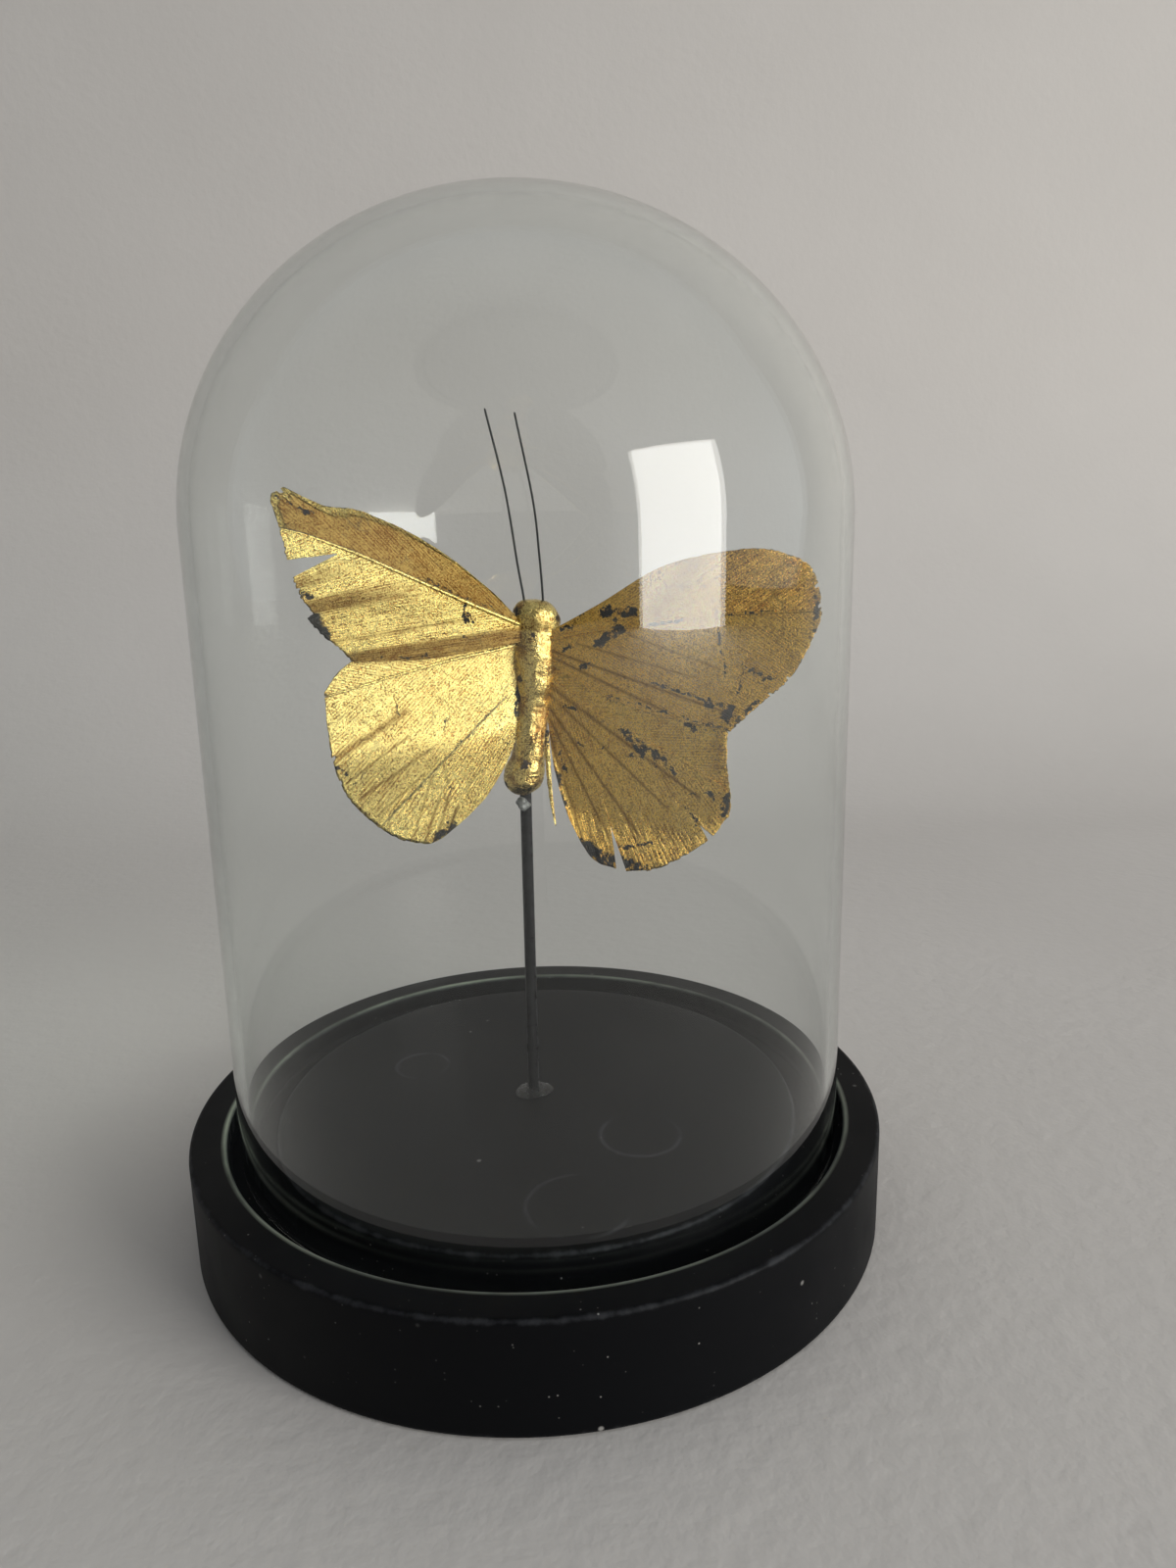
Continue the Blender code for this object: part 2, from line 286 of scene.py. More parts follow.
def corner_wear(points, corners, width):
    """1 on a corner circle of (radius, height), falling to 0 over a width."""
    radius = np.hypot(points[:, 0], points[:, 1])
    near = np.full(len(points), 9.0)
    for corner_radius, corner_height in corners:
        near = np.minimum(near, np.hypot(radius - corner_radius, points[:, 2] - corner_height))
    return np.clip(1.0 - near / width, 0.0, 1.0)


def mesh_points(piece):
    """All of a piece's points as one array."""
    flat = np.empty(len(piece.data.vertices) * 3, np.float32)
    piece.data.vertices.foreach_get("co", flat)
    return flat.reshape(-1, 3)


def ring_stain(tree, place, x, y, radius):
    """A faint dried ring: 1 on a circle of the plateau, fading within a millimetre."""
    centre = put(tree, "CombineXYZ", {0: x * MM, 1: y * MM, 2: BASE_TOP}).outputs[0]
    off = calc(tree, "SUBTRACT", vector_calc(tree, "DISTANCE", place, centre), radius * MM)
    off = calc(tree, "ABSOLUTE", off)
    return ramp(tree, off, 0.1 * MM, 0.9 * MM, 1.0, 0.0)


def black_wood():
    """Satin lacquer over fine grain, with rubbed corners, ring stains, a painted highlight along the
    groove's outer lip, and dust.
    """
    material, tree, shader = new_material("black_lacquered_wood")
    place = object_place(tree)
    rubbed = use_group(tree, RUBBED_EDGE, {"Vector": place, "Edge": attribute(tree, "edge"),
                                           "Wear": 0.62})["Mask"]
    fine_dust = use_group(tree, DUST, {"Vector": place, "Scale": 620.0, "Amount": 0.16})["Mask"]
    coarse_dust = use_group(tree, DUST, {"Vector": place, "Scale": 210.0, "Amount": 0.05})["Mask"]
    dust = calc(tree, "MAXIMUM", fine_dust, coarse_dust)
    stains = 0.0
    for stain in RING_STAINS:
        stains = calc(tree, "MAXIMUM", ring_stain(tree, place, *stain), stains)
    stains = calc(tree, "MULTIPLY", stains, ramp(tree, noise(tree, place, 90.0), 0.4, 0.62))
    cloud = noise(tree, place, 30.0, 4.0)
    colour = tint(tree, calc(tree, "MULTIPLY", stains, 0.35), BLACK_LACQUER, RUBBED_LACQUER)
    colour = tint(tree, calc(tree, "MULTIPLY", rubbed, 0.30), colour, RUBBED_LACQUER)
    # painted highlight: a pale line along the groove's outer lip, broken up by noise
    lip = calc(tree, "MULTIPLY", attribute(tree, "lip"), ramp(tree, cloud, 0.35, 0.60, 0.25, 0.85))
    colour = tint(tree, lip, colour, LIP_PAINTED_HIGHLIGHT)
    colour = tint(tree, calc(tree, "MULTIPLY", dust, 0.8), colour, DUST_COLOUR)
    roughness = calc(tree, "ADD", ramp(tree, cloud, 0.3, 0.7, 0.44, 0.54), calc(tree, "MULTIPLY", dust, 0.3))
    roughness = calc(tree, "MULTIPLY_ADD", attribute(tree, "channel"), 0.5, roughness)
    grain = noise(tree, put(tree, "Mapping", {"Vector": place, "Scale": (1.0, 9.0, 9.0)}).outputs[0],
                  140.0, 4.0, 0.6)
    feed(tree, shader, Base_Color=colour, Roughness=roughness, Specular_IOR_Level=0.09,
         Normal=bump(tree, grain, 0.02 * MM, 0.25))
    return material


base = turned("base_turned", base_profile(), BASE_STEPS, black_wood())
BASE_CORNERS = ((BASE_RADIUS, BASE_TOP), (BASE_RADIUS, BASE_LOW.z), (GROOVE_OUTER, BASE_TOP),
                (GROOVE_INNER, BASE_TOP))
mark(base, "edge", corner_wear(mesh_points(base), BASE_CORNERS, 1.6 * MM))
# lip: where the painted highlight along the groove's outer lip lies
mark(base, "lip", corner_wear(mesh_points(base), ((GROOVE_OUTER + 0.7 * MM, BASE_TOP),), 0.8 * MM))
base_reach = np.hypot(*mesh_points(base)[:, :2].T)
mark(base, "channel", (base_reach > GROOVE_INNER - 0.1 * MM) & (base_reach < GROOVE_OUTER))
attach(base, "root")
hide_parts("base")


# ---------------------------------------------------------------------------------------
# Rod: a straight steel wire, painted satin black, pushed into a hole in the base.
# It leans very slightly to the right, and its top end is hidden in the body.

ROD_RADIUS = 1.4 * MM
ROD_SIDES = 48
ROD_END_ROUND = 0.01 * MM  # how far the end caps stand out
ROD_LOW, ROD_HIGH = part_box("rod")
ROD_FOOT = Vector((ROD_LOW.x + ROD_RADIUS, (ROD_LOW.y + ROD_HIGH.y) / 2, ROD_LOW.z))
ROD_HEAD = Vector((ROD_HIGH.x - ROD_RADIUS, (ROD_LOW.y + ROD_HIGH.y) / 2, ROD_HIGH.z))


def smooth_path(points, count):
    """Catmull-Rom curve through the points, read at evenly spread parameters."""
    points = np.asarray(points, float)
    padded = np.concatenate([2 * points[:1] - points[1:2], points, 2 * points[-1:] - points[-2:-1]])
    at = np.linspace(0, len(points) - 1, count)
    cell = np.minimum(at.astype(int), len(points) - 2)
    t = (at - cell)[:, None]
    before, start, end, after = (padded[cell + k] for k in range(4))
    return (start + 0.5 * t * (end - before) + t * t * (before - 2.5 * start + 2 * end - 0.5 * after)
            + t**3 * (-0.5 * before + 1.5 * start - 1.5 * end + 0.5 * after))


def tube_points(path, radius, sides, up=(0.0, 1.0, 0.0)):
    """Rings of a round tube: path + radius (cos a side + sin a up), square to the path."""
    path = np.asarray(path, float)
    along = np.gradient(path, axis=0)
    along /= np.linalg.norm(along, axis=1, keepdims=True)
    side = np.cross(along, up)
    side /= np.linalg.norm(side, axis=1, keepdims=True)
    over = np.cross(side, along)
    angle = np.arange(sides)[None, :, None] * 2 * math.pi / sides
    ring = np.cos(angle) * side[:, None] + np.sin(angle) * over[:, None]
    return path[:, None] + ring * np.asarray(radius, float).reshape(-1, 1, 1)


def tube(name, path, radius, sides, material, up=(0.0, 1.0, 0.0)):
    """A tube with round ends: its first and last rings close to a point."""
    rings = tube_points(path, radius, sides, up)
    return add_mesh(name, rings, grid_faces(len(path), sides, False, True), material)


def black_paint(name, colour, roughness):
    """Satin paint on metal with faint runs, dust and a little rubbed bare."""
    material, tree, shader = new_material(name)
    place = object_place(tree)
    dust = use_group(tree, DUST, {"Vector": place, "Scale": 900.0, "Amount": 0.12})["Mask"]
    runs = noise(tree, place, 420.0, 5.0, 0.6)
    pale = tuple(min(1.0, 3.2 * part + 0.02) for part in colour[:3]) + (1.0,)
    shade = tint(tree, ramp(tree, runs, 0.56, 0.74, 0.0, 0.45), colour, pale)
    shade = tint(tree, calc(tree, "MULTIPLY", dust, 0.4), shade, DUST_COLOUR)
    feed(tree, shader, Base_Color=shade, Roughness=ramp(tree, runs, 0.3, 0.7, roughness, roughness + 0.16),
         Specular_IOR_Level=0.20, Normal=bump(tree, runs, 0.03 * MM, 0.6))
    return material


rod_along = np.concatenate([[0.0, 0.0], np.linspace(0.002, 0.998, 60), [1.0, 1.0]])
rod_path = np.array(ROD_FOOT)[None] + rod_along[:, None] * np.array(ROD_HEAD - ROD_FOOT)[None]
rod_path[0, 2] -= ROD_END_ROUND
rod_path[-1, 2] += ROD_END_ROUND
rod_radius = np.full(len(rod_path), ROD_RADIUS)
rod_radius[[0, -1]] = 0.0
rod_radius[[1, -2]] = 0.85 * ROD_RADIUS
rod_paint = black_paint("rod_black_paint", (0.007, 0.0075, 0.0085, 1.0), 0.24)
rod = tube("rod_steel", rod_path, rod_radius, ROD_SIDES, rod_paint)
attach(rod, "root")
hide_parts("rod")


# ---------------------------------------------------------------------------------------
# Glue: a low clear puddle where the rod enters the base, and a hazy drip under the tail.
# Both are cured glue, a little cloudy, moulded to the rod.

FOOT_LOW, FOOT_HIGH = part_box("foot_glue")
TAIL_LOW, TAIL_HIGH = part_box("tail_glue")
PUDDLE_SIDES, PUDDLE_RINGS = 96, 24
DRIP_SIDES, DRIP_RINGS = 64, 40


def through_light(material, tree, shader, tinted):
    """Lets lamp light through: shadow rays see a tinted Transparent shader, all others the glass."""
    path = put(tree, "LightPath").outputs["Is Shadow Ray"]
    clear = put(tree, "BsdfTransparent", {"Color": tinted}).outputs[0]
    mixed = put(tree, "MixShader", {0: path, 1: shader.outputs[0], 2: clear}).outputs[0]
    tree.links.new(mixed, tree.nodes["Material Output"].inputs["Surface"])
    return material


def clear_glue(name, colour, haze, roughness, clearness, tinted):
    """Cured glue: see-through, with small bubbles of haze and an uneven skin."""
    material, tree, shader = new_material(name)
    cloud = noise(tree, object_place(tree), 900.0, 5.0, 0.6)
    feed(tree, shader, Base_Color=tint(tree, ramp(tree, cloud, 0.35, 0.7), colour, haze),
         Roughness=ramp(tree, cloud, 0.3, 0.7, roughness, roughness + 0.2), IOR=1.48,
         Transmission_Weight=clearness, Normal=bump(tree, cloud, 0.12 * MM, 0.7))
    return through_light(material, tree, shader, tinted)


def glue_puddle(low, high):
    """A puddle round the rod: height (1 - r^2)^0.7 with r scaled by an uneven outline."""
    angle = np.linspace(0, 2 * math.pi, PUDDLE_SIDES, endpoint=False)[:, None]
    share = np.linspace(0.0, 1.0, PUDDLE_RINGS)[None, :]
    outline = 1.0 + 0.07 * np.sin(2 * angle + 0.6) + 0.05 * np.sin(3 * angle + 2.0)
    reach = (high.x - low.x) / 2 * 0.93 * outline * share
    dome = np.maximum(1.0 - share**2, 0.0)**0.7 * (1.0 + 0.12 * np.sin(4 * angle + 1.0) * share)
    creep = 0.7 * np.exp(-((reach - ROD_RADIUS) / (0.8 * MM))**2)
    rise = (high.z - low.z) * np.minimum(0.62 * dome + creep, 1.0)
    centre = (low + high) / 2
    top = np.stack([centre.x + reach * np.cos(angle), centre.y + reach * np.sin(angle), low.z + rise], -1)
    under = top.copy()
    under[..., 2] = low.z
    under[:, -1] = top[:, -1]
    return np.concatenate([top, under[:, -2::-1]], axis=1)


foot_clear = clear_glue("clear_foot_glue", (0.12, 0.12, 0.12, 1.0), (0.06, 0.06, 0.06, 1.0), 0.10, 1.0,
                        (0.8, 0.8, 0.79, 1.0))
puddle = glue_puddle(FOOT_LOW, FOOT_HIGH)
foot_glue = add_mesh("glue_at_foot", puddle, grid_faces(*puddle.shape[:2], True), foot_clear)
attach(foot_glue, "root")
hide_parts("foot_glue")


def glue_drip(low, high):
    """A lumpy bead: an oval whose radius swells by three waves, hung at the rod's front left."""
    turn = np.linspace(0, 2 * math.pi, DRIP_SIDES, endpoint=False)[:, None]
    fall = np.linspace(0, math.pi, DRIP_RINGS)[None, :]
    width = np.sin(fall)
    lump = 1.0 + 0.13 * np.sin(3 * turn + 1.0) * width**2 + 0.10 * np.sin(5 * fall + 2 * turn) * width
    lump += 0.09 * np.sin(2 * turn - 3 * fall) * width
    centre = (low + high) / 2
    x = centre.x - 0.75 * MM + 1.55 * MM * lump * width * np.cos(turn)
    y = centre.y - 1.0 * MM + 1.35 * MM * lump * width * np.sin(turn)
    half = (high.z - low.z) / 2
    z = centre.z + 0.15 * MM + half * 1.02 * np.cos(fall) - 0.35 * MM * width * np.cos(turn)
    return np.stack([x, y, z], -1)


drip_clear = clear_glue("hazy_tail_glue", (0.36, 0.37, 0.36, 1.0), (0.24, 0.25, 0.24, 1.0), 0.22, 0.55,
                        (0.5, 0.5, 0.49, 1.0))
drip = glue_drip(TAIL_LOW, TAIL_HIGH)
tail_glue = add_mesh("glue_at_tail", drip, grid_faces(DRIP_SIDES, DRIP_RINGS, True), drip_clear)
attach(tail_glue, "root")
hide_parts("tail_glue")


# ---------------------------------------------------------------------------------------
# Body: a light moulded core covered in gold leaf, lumpy as if dipped, on top of the rod.
# The leaf is wrinkled, browner in the hollows, darkened by painted shade on its left side and head, and lost
# in a few dark spots.

TAIL = Vector((-1.2, 1.3, 104.3)) * MM
BODY_LEAN = math.radians(5.9)
BODY_TILT = np.array(Matrix.Rotation(BODY_LEAN, 3, "Y"))
SHOULDER = 36.0  # mm from the tail to the wings' own origin, along the body
BODY_DEPTH_SHARE = 0.9
BODY_MEAN_BOW = 0.9  # mm
HEAD_FROM = 39.5  # mm above the tail
BODY_STATIONS = (  # mm: height above the tail, sideways bow, half width
    (0.0, -0.2, 0.0),
    (0.5, -0.2, 1.9),
    (2.0, -0.2, 3.7),
    (4.0, -0.1, 4.75),
    (6.0, 0.1, 4.85),
    (8.0, 0.4, 4.45),
    (11.0, 0.8, 4.05),
    (14.8, 1.2, 3.95),
    (19.5, 1.2, 3.85),
    (23.7, 1.0, 3.9),
    (28.0, 1.0, 4.5),
    (33.0, 1.1, 5.2),
    (36.5, 1.0, 5.15),
    (39.4, 0.7, 4.95),
    (42.6, 0.2, 5.2),
    (44.9, 0.05, 4.55),
    (46.4, 0.0, 2.8),
    (46.9, 0.0, 0.0),
)
BODY_LUMPS = (  # mm high, number round the body, mm tall, seed, whether they are sharp ridges
    (0.34, 5, 5.2, 11, False),
    (0.22, 10, 2.5, 12, False),
    (0.09, 22, 1.05, 13, True),
    (0.04, 46, 0.5, 14, True),
)
LEAF_LIGHT = (0.95, 0.77, 0.28, 1.0)
LEAF_DEEP = (0.40, 0.21, 0.050, 1.0)
# black of lost leaf, also used for painted shade beside the quills
BARE_AND_SHADE_BLACK = (0.011, 0.010, 0.009, 1.0)


def lattice_noise(x, y, seed, wrap=None):
    """Smooth noise from -1 to 1 on unit cells: seeded values eased between whole numbers."""
    values = np.random.default_rng(seed).uniform(-1, 1, (256, 256))
    cell_x, cell_y = np.floor(x).astype(int), np.floor(y).astype(int)
    tx, ty = x - cell_x, y - cell_y
    tx, ty = tx * tx * (3 - 2 * tx), ty * ty * (3 - 2 * ty)
    count = wrap or 256
    left, right = cell_x % count, (cell_x + 1) % count
    low, high = cell_y % 256, (cell_y + 1) % 256
    below = values[left, low] * (1 - tx) + values[right, low] * tx
    above = values[left, high] * (1 - tx) + values[right, high] * tx
    return below * (1 - ty) + above * ty


def from_body_frame(points):
    """Millimetres in the body's frame (sideways, back, up from the tail) to metres in the scene."""
    return np.array(TAIL) + (np.asarray(points, float) * MM) @ BODY_TILT.T


def body_surface(sides=144, rings=230):
    """Ovals along the bowed axis; radius = station width + four sizes of seeded lumps."""
    stations = smooth_path(BODY_STATIONS, rings)
    height, bow, half = np.maximum(stations, (0.0, -9.0, 0.0)).T
    height[0], height[-1] = 0.0, BODY_STATIONS[-1][0]
    half[[0, -1]] = 0.0
    angle = np.arange(sides)[None, :] * 2 * math.pi / sides
    up = height[:, None]
    lumps = 0.0
    for size, across, tall, seed, ridged in BODY_LUMPS:
        swell = lattice_noise(angle * across / (2 * math.pi), up / tall, seed, across)
        lumps = lumps + size * (1 - 2 * np.abs(swell) if ridged else swell)
    neck = -0.12 * np.exp(-((up - 40.4) / 0.8)**2) * (0.6 + 0.4 * np.sin(angle * 2 + 1.0))
    waist = -0.22 * np.exp(-((up - 24.6) / 1.0)**2) - 0.20 * np.exp(-((up - 9.3) / 0.8)**2)
    fade = np.clip(half[:, None] / 2.0, 0.0, 1.0)
    radius = half[:, None] + (lumps + neck + waist) * fade
    x = bow[:, None] + radius * np.cos(angle)
    y = BODY_DEPTH_SHARE * radius * np.sin(angle)
    return np.stack([x, y, np.broadcast_to(up, x.shape)], -1)


def leaf_group():
    """Gold leaf: Loss above about one half, broken up by noise, lays the surface under it bare.

    Tone runs from Deep to Light with broad and fine noise and falls in grooves and where shade is
    painted, and rises where glints are painted; the height has soft wrinkles, fine crackle and the
    step down where leaf is missing.
    """
    group, given, result = new_group(
        "gold_leaf",
        (("Vector", "Vector", None), ("Loss", "Float", 0.0), ("Groove_and_painted_light", "Float", 0.0),
         ("Specks", "Float", 0.5), ("Crackle", "Float", 0.5), ("Light", "Color", LEAF_LIGHT),
         ("Deep", "Color", LEAF_DEEP), ("Bare", "Color", BARE_AND_SHADE_BLACK)),
        (("Color", "Color"), ("Metallic", "Float"), ("Roughness", "Float"), ("Height", "Float")),
    )
    place = given["Vector"]
    fine = noise(group, place, 2500.0, 2.0, 0.7)
    middle = noise(group, place, 560.0, 4.0, 0.6)
    broad = noise(group, place, 120.0, 3.0)
    warp = put(group, "TexNoise", {"Vector": place, "Scale": 420.0, "Detail": 3.0}).outputs["Color"]
    bent = vector_calc(group, "ADD", place, vector_calc(group, "SCALE", warp, 1.6 * MM))
    cells = put(group, "TexVoronoi", {"Vector": bent, "Scale": 270.0}, feature="DISTANCE_TO_EDGE")
    lines = ramp(group, cells.outputs["Distance"], 0.012, 0.05, 1.0, 0.0)
    some = ramp(group, broad, 0.50, 0.62)
    crack = calc(group, "MULTIPLY", calc(group, "MULTIPLY", lines, some), given["Crackle"])
    ragged = calc(group, "MULTIPLY_ADD", middle, 5.2, -1.55)
    ragged = calc(group, "MULTIPLY_ADD", calc(group, "SUBTRACT", fine, 0.5), 2.6, ragged)
    patch = ramp(group, calc(group, "MULTIPLY", given["Loss"], ragged), 0.46, 0.56)
    limit = calc(group, "MULTIPLY_ADD", given["Specks"], -0.12, 0.80)
    speck = calc(group, "GREATER_THAN", fine, limit)
    bare_and_painted_shade = calc(group, "MAXIMUM", patch, calc(group, "MAXIMUM", crack, calc(group, "MULTIPLY", speck, 0.8)))
    tone = calc(group, "MULTIPLY_ADD", calc(group, "SUBTRACT", broad, 0.5), 0.7, 0.34)
    tone = calc(group, "MULTIPLY_ADD", calc(group, "SUBTRACT", middle, 0.5), 1.0, tone)
    tone = calc(group, "MULTIPLY_ADD", ramp(group, fine, 0.34, 0.54), 0.66, tone)
    # painted shade and painted glints: this input darkens the tone where shade is painted, and brightens it
    # where it is negative
    tone = calc(group, "MULTIPLY_ADD", given["Groove_and_painted_light"], -0.60, tone)
    tone = ramp(group, tone, 0.0, 1.0)
    colour = tint(group, tone, given["Deep"], given["Light"])
    group.links.new(tint(group, bare_and_painted_shade, colour, given["Bare"]), result["Color"])
    group.links.new(calc(group, "SUBTRACT", 1.0, bare_and_painted_shade), result["Metallic"])
    polish = calc(group, "MULTIPLY_ADD", fine, 0.30, 0.11)
    group.links.new(calc(group, "MULTIPLY_ADD", bare_and_painted_shade, 0.35, polish), result["Roughness"])
    relief = calc(group, "MULTIPLY_ADD", fine, 0.60, calc(group, "MULTIPLY", middle, 0.55))
    group.links.new(calc(group, "MULTIPLY_ADD", bare_and_painted_shade, -0.25, relief), result["Height"])
    return group


GOLD_LEAF = leaf_group()


def gilded_body():
    """Leaf over the moulded core, its hollows brown, painted shade on its left side and head, and its losses
    at the head and tail.
    """
    material, tree, shader = new_material("gilded_body")
    place = object_place(tree)
    hollow_and_painted_shade = attribute(tree, "hollow_and_painted_shade")
    stain = ramp(tree, noise(tree, place, 210.0, 3.0, 0.6), 0.50, 0.62, 0.0, 0.8)
    leaf = use_group(tree, GOLD_LEAF, {"Vector": place, "Loss": attribute(tree, "loss"),
                                       "Groove_and_painted_light": calc(tree, "ADD", hollow_and_painted_shade, stain),
                                       "Specks": 0.45, "Crackle": 0.25,
                                       "Light": (0.95, 0.74, 0.27, 1.0), "Deep": (0.30, 0.15, 0.04, 1.0),
                                       "Bare": (0.030, 0.018, 0.010, 1.0)})
    rough = calc(tree, "MULTIPLY_ADD", hollow_and_painted_shade, 0.20, calc(tree, "SUBTRACT", leaf["Roughness"], 0.04))
    feed(tree, shader, Base_Color=leaf["Color"], Metallic=leaf["Metallic"], Roughness=rough,
         Normal=bump(tree, leaf["Height"], 0.24 * MM, 1.0))
    return material


def spots(height, angle, places):
    """1 in the middle of each round spot (height, angle in degrees, size in mm), 0 outside it."""
    result = np.zeros_like(height)
    for spot_height, spot_angle, size in places:
        turn = np.angle(np.exp(1j * (angle - math.radians(spot_angle)))) * 4.5
        away = np.hypot(height - spot_height, turn) / size
        result = np.maximum(result, np.clip(1.0 - 0.5 * away, 0.0, 1.0))
    return result


BODY_LOSSES = ((44.2, 205, 1.1), (43.0, 338, 0.8), (28.6, 215, 0.9), (23.6, 190, 1.5), (8.4, 262, 1.0),
               (35.2, 345, 0.8), (31.0, 355, 0.9), (2.6, 200, 0.8), (13.0, 195, 0.7), (38.9, 255, 0.5))
body_points = body_surface()
body = add_mesh("body_gilded", from_body_frame(body_points), grid_faces(*body_points.shape[:2], False, True),
                gilded_body())
body_side, body_back, body_up = ((mesh_points(body) - np.array(TAIL)) @ BODY_TILT / MM).T
body_back = body_back / BODY_DEPTH_SHARE
body_turn = np.arctan2(body_back, body_side - BODY_MEAN_BOW)
mark(body, "loss", spots(body_up, body_turn, BODY_LOSSES))
station_up, station_bow, station_half = np.array(BODY_STATIONS).T
flank = np.interp(body_up, station_up, station_half)
body_out = np.hypot(body_side - np.interp(body_up, station_up, station_bow), body_back)
# painted shade: the body's left side and its head are darkened, on top of the hollows' darkening
shaded = 0.55 * np.clip(-np.cos(body_turn + 0.5) * 1.4, 0.0, 1.0)
shaded += 0.5 * np.clip((body_up - HEAD_FROM) / 2.0, 0.0, 1.0)
mark(body, "hollow_and_painted_shade", np.clip((flank - body_out) * 1.8 + shaded, 0.0, 1.3))
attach(body, "root")
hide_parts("body")


# ---------------------------------------------------------------------------------------
# Left forewing: one feather cut to a butterfly's wing and gilded on its front only.
# Its barbs run out from the quill, split where torn, and pleat into bright bands and dull bands darkened by
# painted shade.

BARB_WIDTH = 0.62  # mm between two barbs
BARB_STEPS = 5  # columns of mesh across a barb
BARB_RELIEF = 0.034  # mm
SHORTEST_BARB = 0.25  # mm
QUILL_STEPS, QUILL_SIDES = 120, 12
QUILL_RADIUS, QUILL_TAPER = 0.50, 0.32  # mm at the root, and how much less at the tip
VANE_THICKNESS = 0.26  # mm
VANE_MARKS = ("span", "rise", "reach", "margin", "barb", "dull_and_painted_shade", "ruffle", "bare_and_painted_shade")
LEFT_TURN = math.pi + math.radians(26)
RIGHT_TURN = -math.radians(28)
FRONT_LAYER, BACK_LAYER = 0.7, -0.7  # mm before and behind the plane through the body's axis


def wing_outline(runs):
    """The runs' smooth curves joined end to end as one closed outline."""
    parts = [smooth_path(run, 8 * (len(run) - 1) + 1)[:-1] if len(run) > 2 else np.array(run[:1], float)
             for run in runs]
    return np.concatenate(parts)


def quill_line(points):
    """The quill as a dense line, carried on straight for 30 mm past both ends."""
    dense = smooth_path(points, 90)
    first, last = dense[0] - dense[1], dense[-1] - dense[-2]
    first, last = first / np.linalg.norm(first), last / np.linalg.norm(last)
    return np.concatenate([[dense[0] + 30 * first], dense, [dense[-1] + 30 * last]])


def inside_stretch(origin, direction, outline):
    """Where each ray is first inside a closed outline: its entry (0 if it starts inside) and exit.

    A ray meets an edge where the cross products of the offset with the edge and the ray agree.
    """
    corner, edge = outline, np.roll(outline, -1, 0) - outline
    offset = corner[None] - origin[:, None]
    cross = direction[:, None, 0] * edge[None, :, 1] - direction[:, None, 1] * edge[None, :, 0]
    cross = np.where(np.abs(cross) < 1e-9, 1e-9, cross)
    along = (offset[..., 0] * edge[None, :, 1] - offset[..., 1] * edge[None, :, 0]) / cross
    across = (offset[..., 0] * direction[:, None, 1] - offset[..., 1] * direction[:, None, 0]) / cross
    hits = np.where((across >= 0) & (across < 1) & (along > 1e-4), along, np.inf)
    starts_inside = np.isfinite(hits).sum(1) % 2 == 1
    hits = np.sort(hits, axis=1)
    return np.where(starts_inside, 0.0, hits[:, 0]), np.where(starts_inside, hits[:, 0], hits[:, 1])


def barb_grid(outline, quill, stops, rows, seed, ragged):
    """One vane: columns are barbs' lines from the quill at an angle set by stops, rows run outwards.

    Each point is quill(s) + reach (cos a, sin a); s is spaced so that barbs are BARB_WIDTH apart.
    """
    s = np.linspace(quill[0, 0], quill[-1, 0], 4000)
    line = np.stack([s, np.interp(s, quill[:, 0], quill[:, 1])], -1)
    slant = np.radians(np.interp(s, *np.array(stops, float).T))
    slope = np.gradient(line, s, axis=0)
    square = np.abs(slope[:, 0] * np.sin(slant) - slope[:, 1] * np.cos(slant))
    number = np.concatenate([[0], np.cumsum((square[1:] + square[:-1]) / 2 * np.diff(s))]) / BARB_WIDTH
    barb = np.arange(0, number[-1], 1 / BARB_STEPS)
    start = np.interp(barb, number, s)
    origin = np.stack([start, np.interp(start, s, line[:, 1])], -1)
    slant = np.interp(start, s, slant)
    direction = np.stack([np.cos(slant), np.sin(slant)], -1)
    entry, end = inside_stretch(origin, direction, outline)
    picks = np.random.default_rng(seed)
    short = picks.uniform(0.0, ragged, int(barb[-1]) + 2)
    short += (picks.uniform(size=short.size) < 0.05) * picks.uniform(0.2, 1.0, short.size)
    end = end - short[barb.astype(int)]
    length = np.nan_to_num(end, posinf=0.0) - np.nan_to_num(entry, posinf=0.0)
    kept = length > SHORTEST_BARB
    barb, start, entry, end = barb[kept], start[kept], entry[kept], end[kept]
    origin, direction = origin[kept], direction[kept]
    share = np.linspace(0, 1, rows)[None, :]
    reach = entry[:, None] + (end - entry)[:, None] * share
    span = origin[:, :1] + direction[:, :1] * reach
    rise = origin[:, 1:] + direction[:, 1:] * reach
    over = np.broadcast_to(start[:, None], span.shape)
    return {"span": span, "rise": rise, "reach": reach, "start": over,
            "margin": end[:, None] - reach, "barb": np.broadcast_to(barb[:, None], span.shape)}


def place_wing(span, lift, rise, turn, front):
    """Wing millimetres (out from the axis, forward, up from the shoulder) to scene metres."""
    x = span * math.cos(turn) - front * lift * math.sin(turn)
    y = span * math.sin(turn) + front * lift * math.cos(turn)
    return from_body_frame(np.stack([x, y, rise + SHOULDER], -1))


def crinkle(vane, seed, coarse=0.16, fine=0.05):
    """Two sizes of soft wrinkles over the vane, in millimetres."""
    span, rise = vane["span"] + 40.0, vane["rise"] + 90.0
    wide = lattice_noise(span / 6.5, rise / 6.5, seed)
    narrow = lattice_noise(span / 1.7, rise / 1.7, seed + 1)
    return coarse * wide + fine * narrow


def barb_relief(barb):
    """The round back of every barb: |sin(pi barb)| times the relief."""
    return BARB_RELIEF * np.abs(np.sin(math.pi * barb))


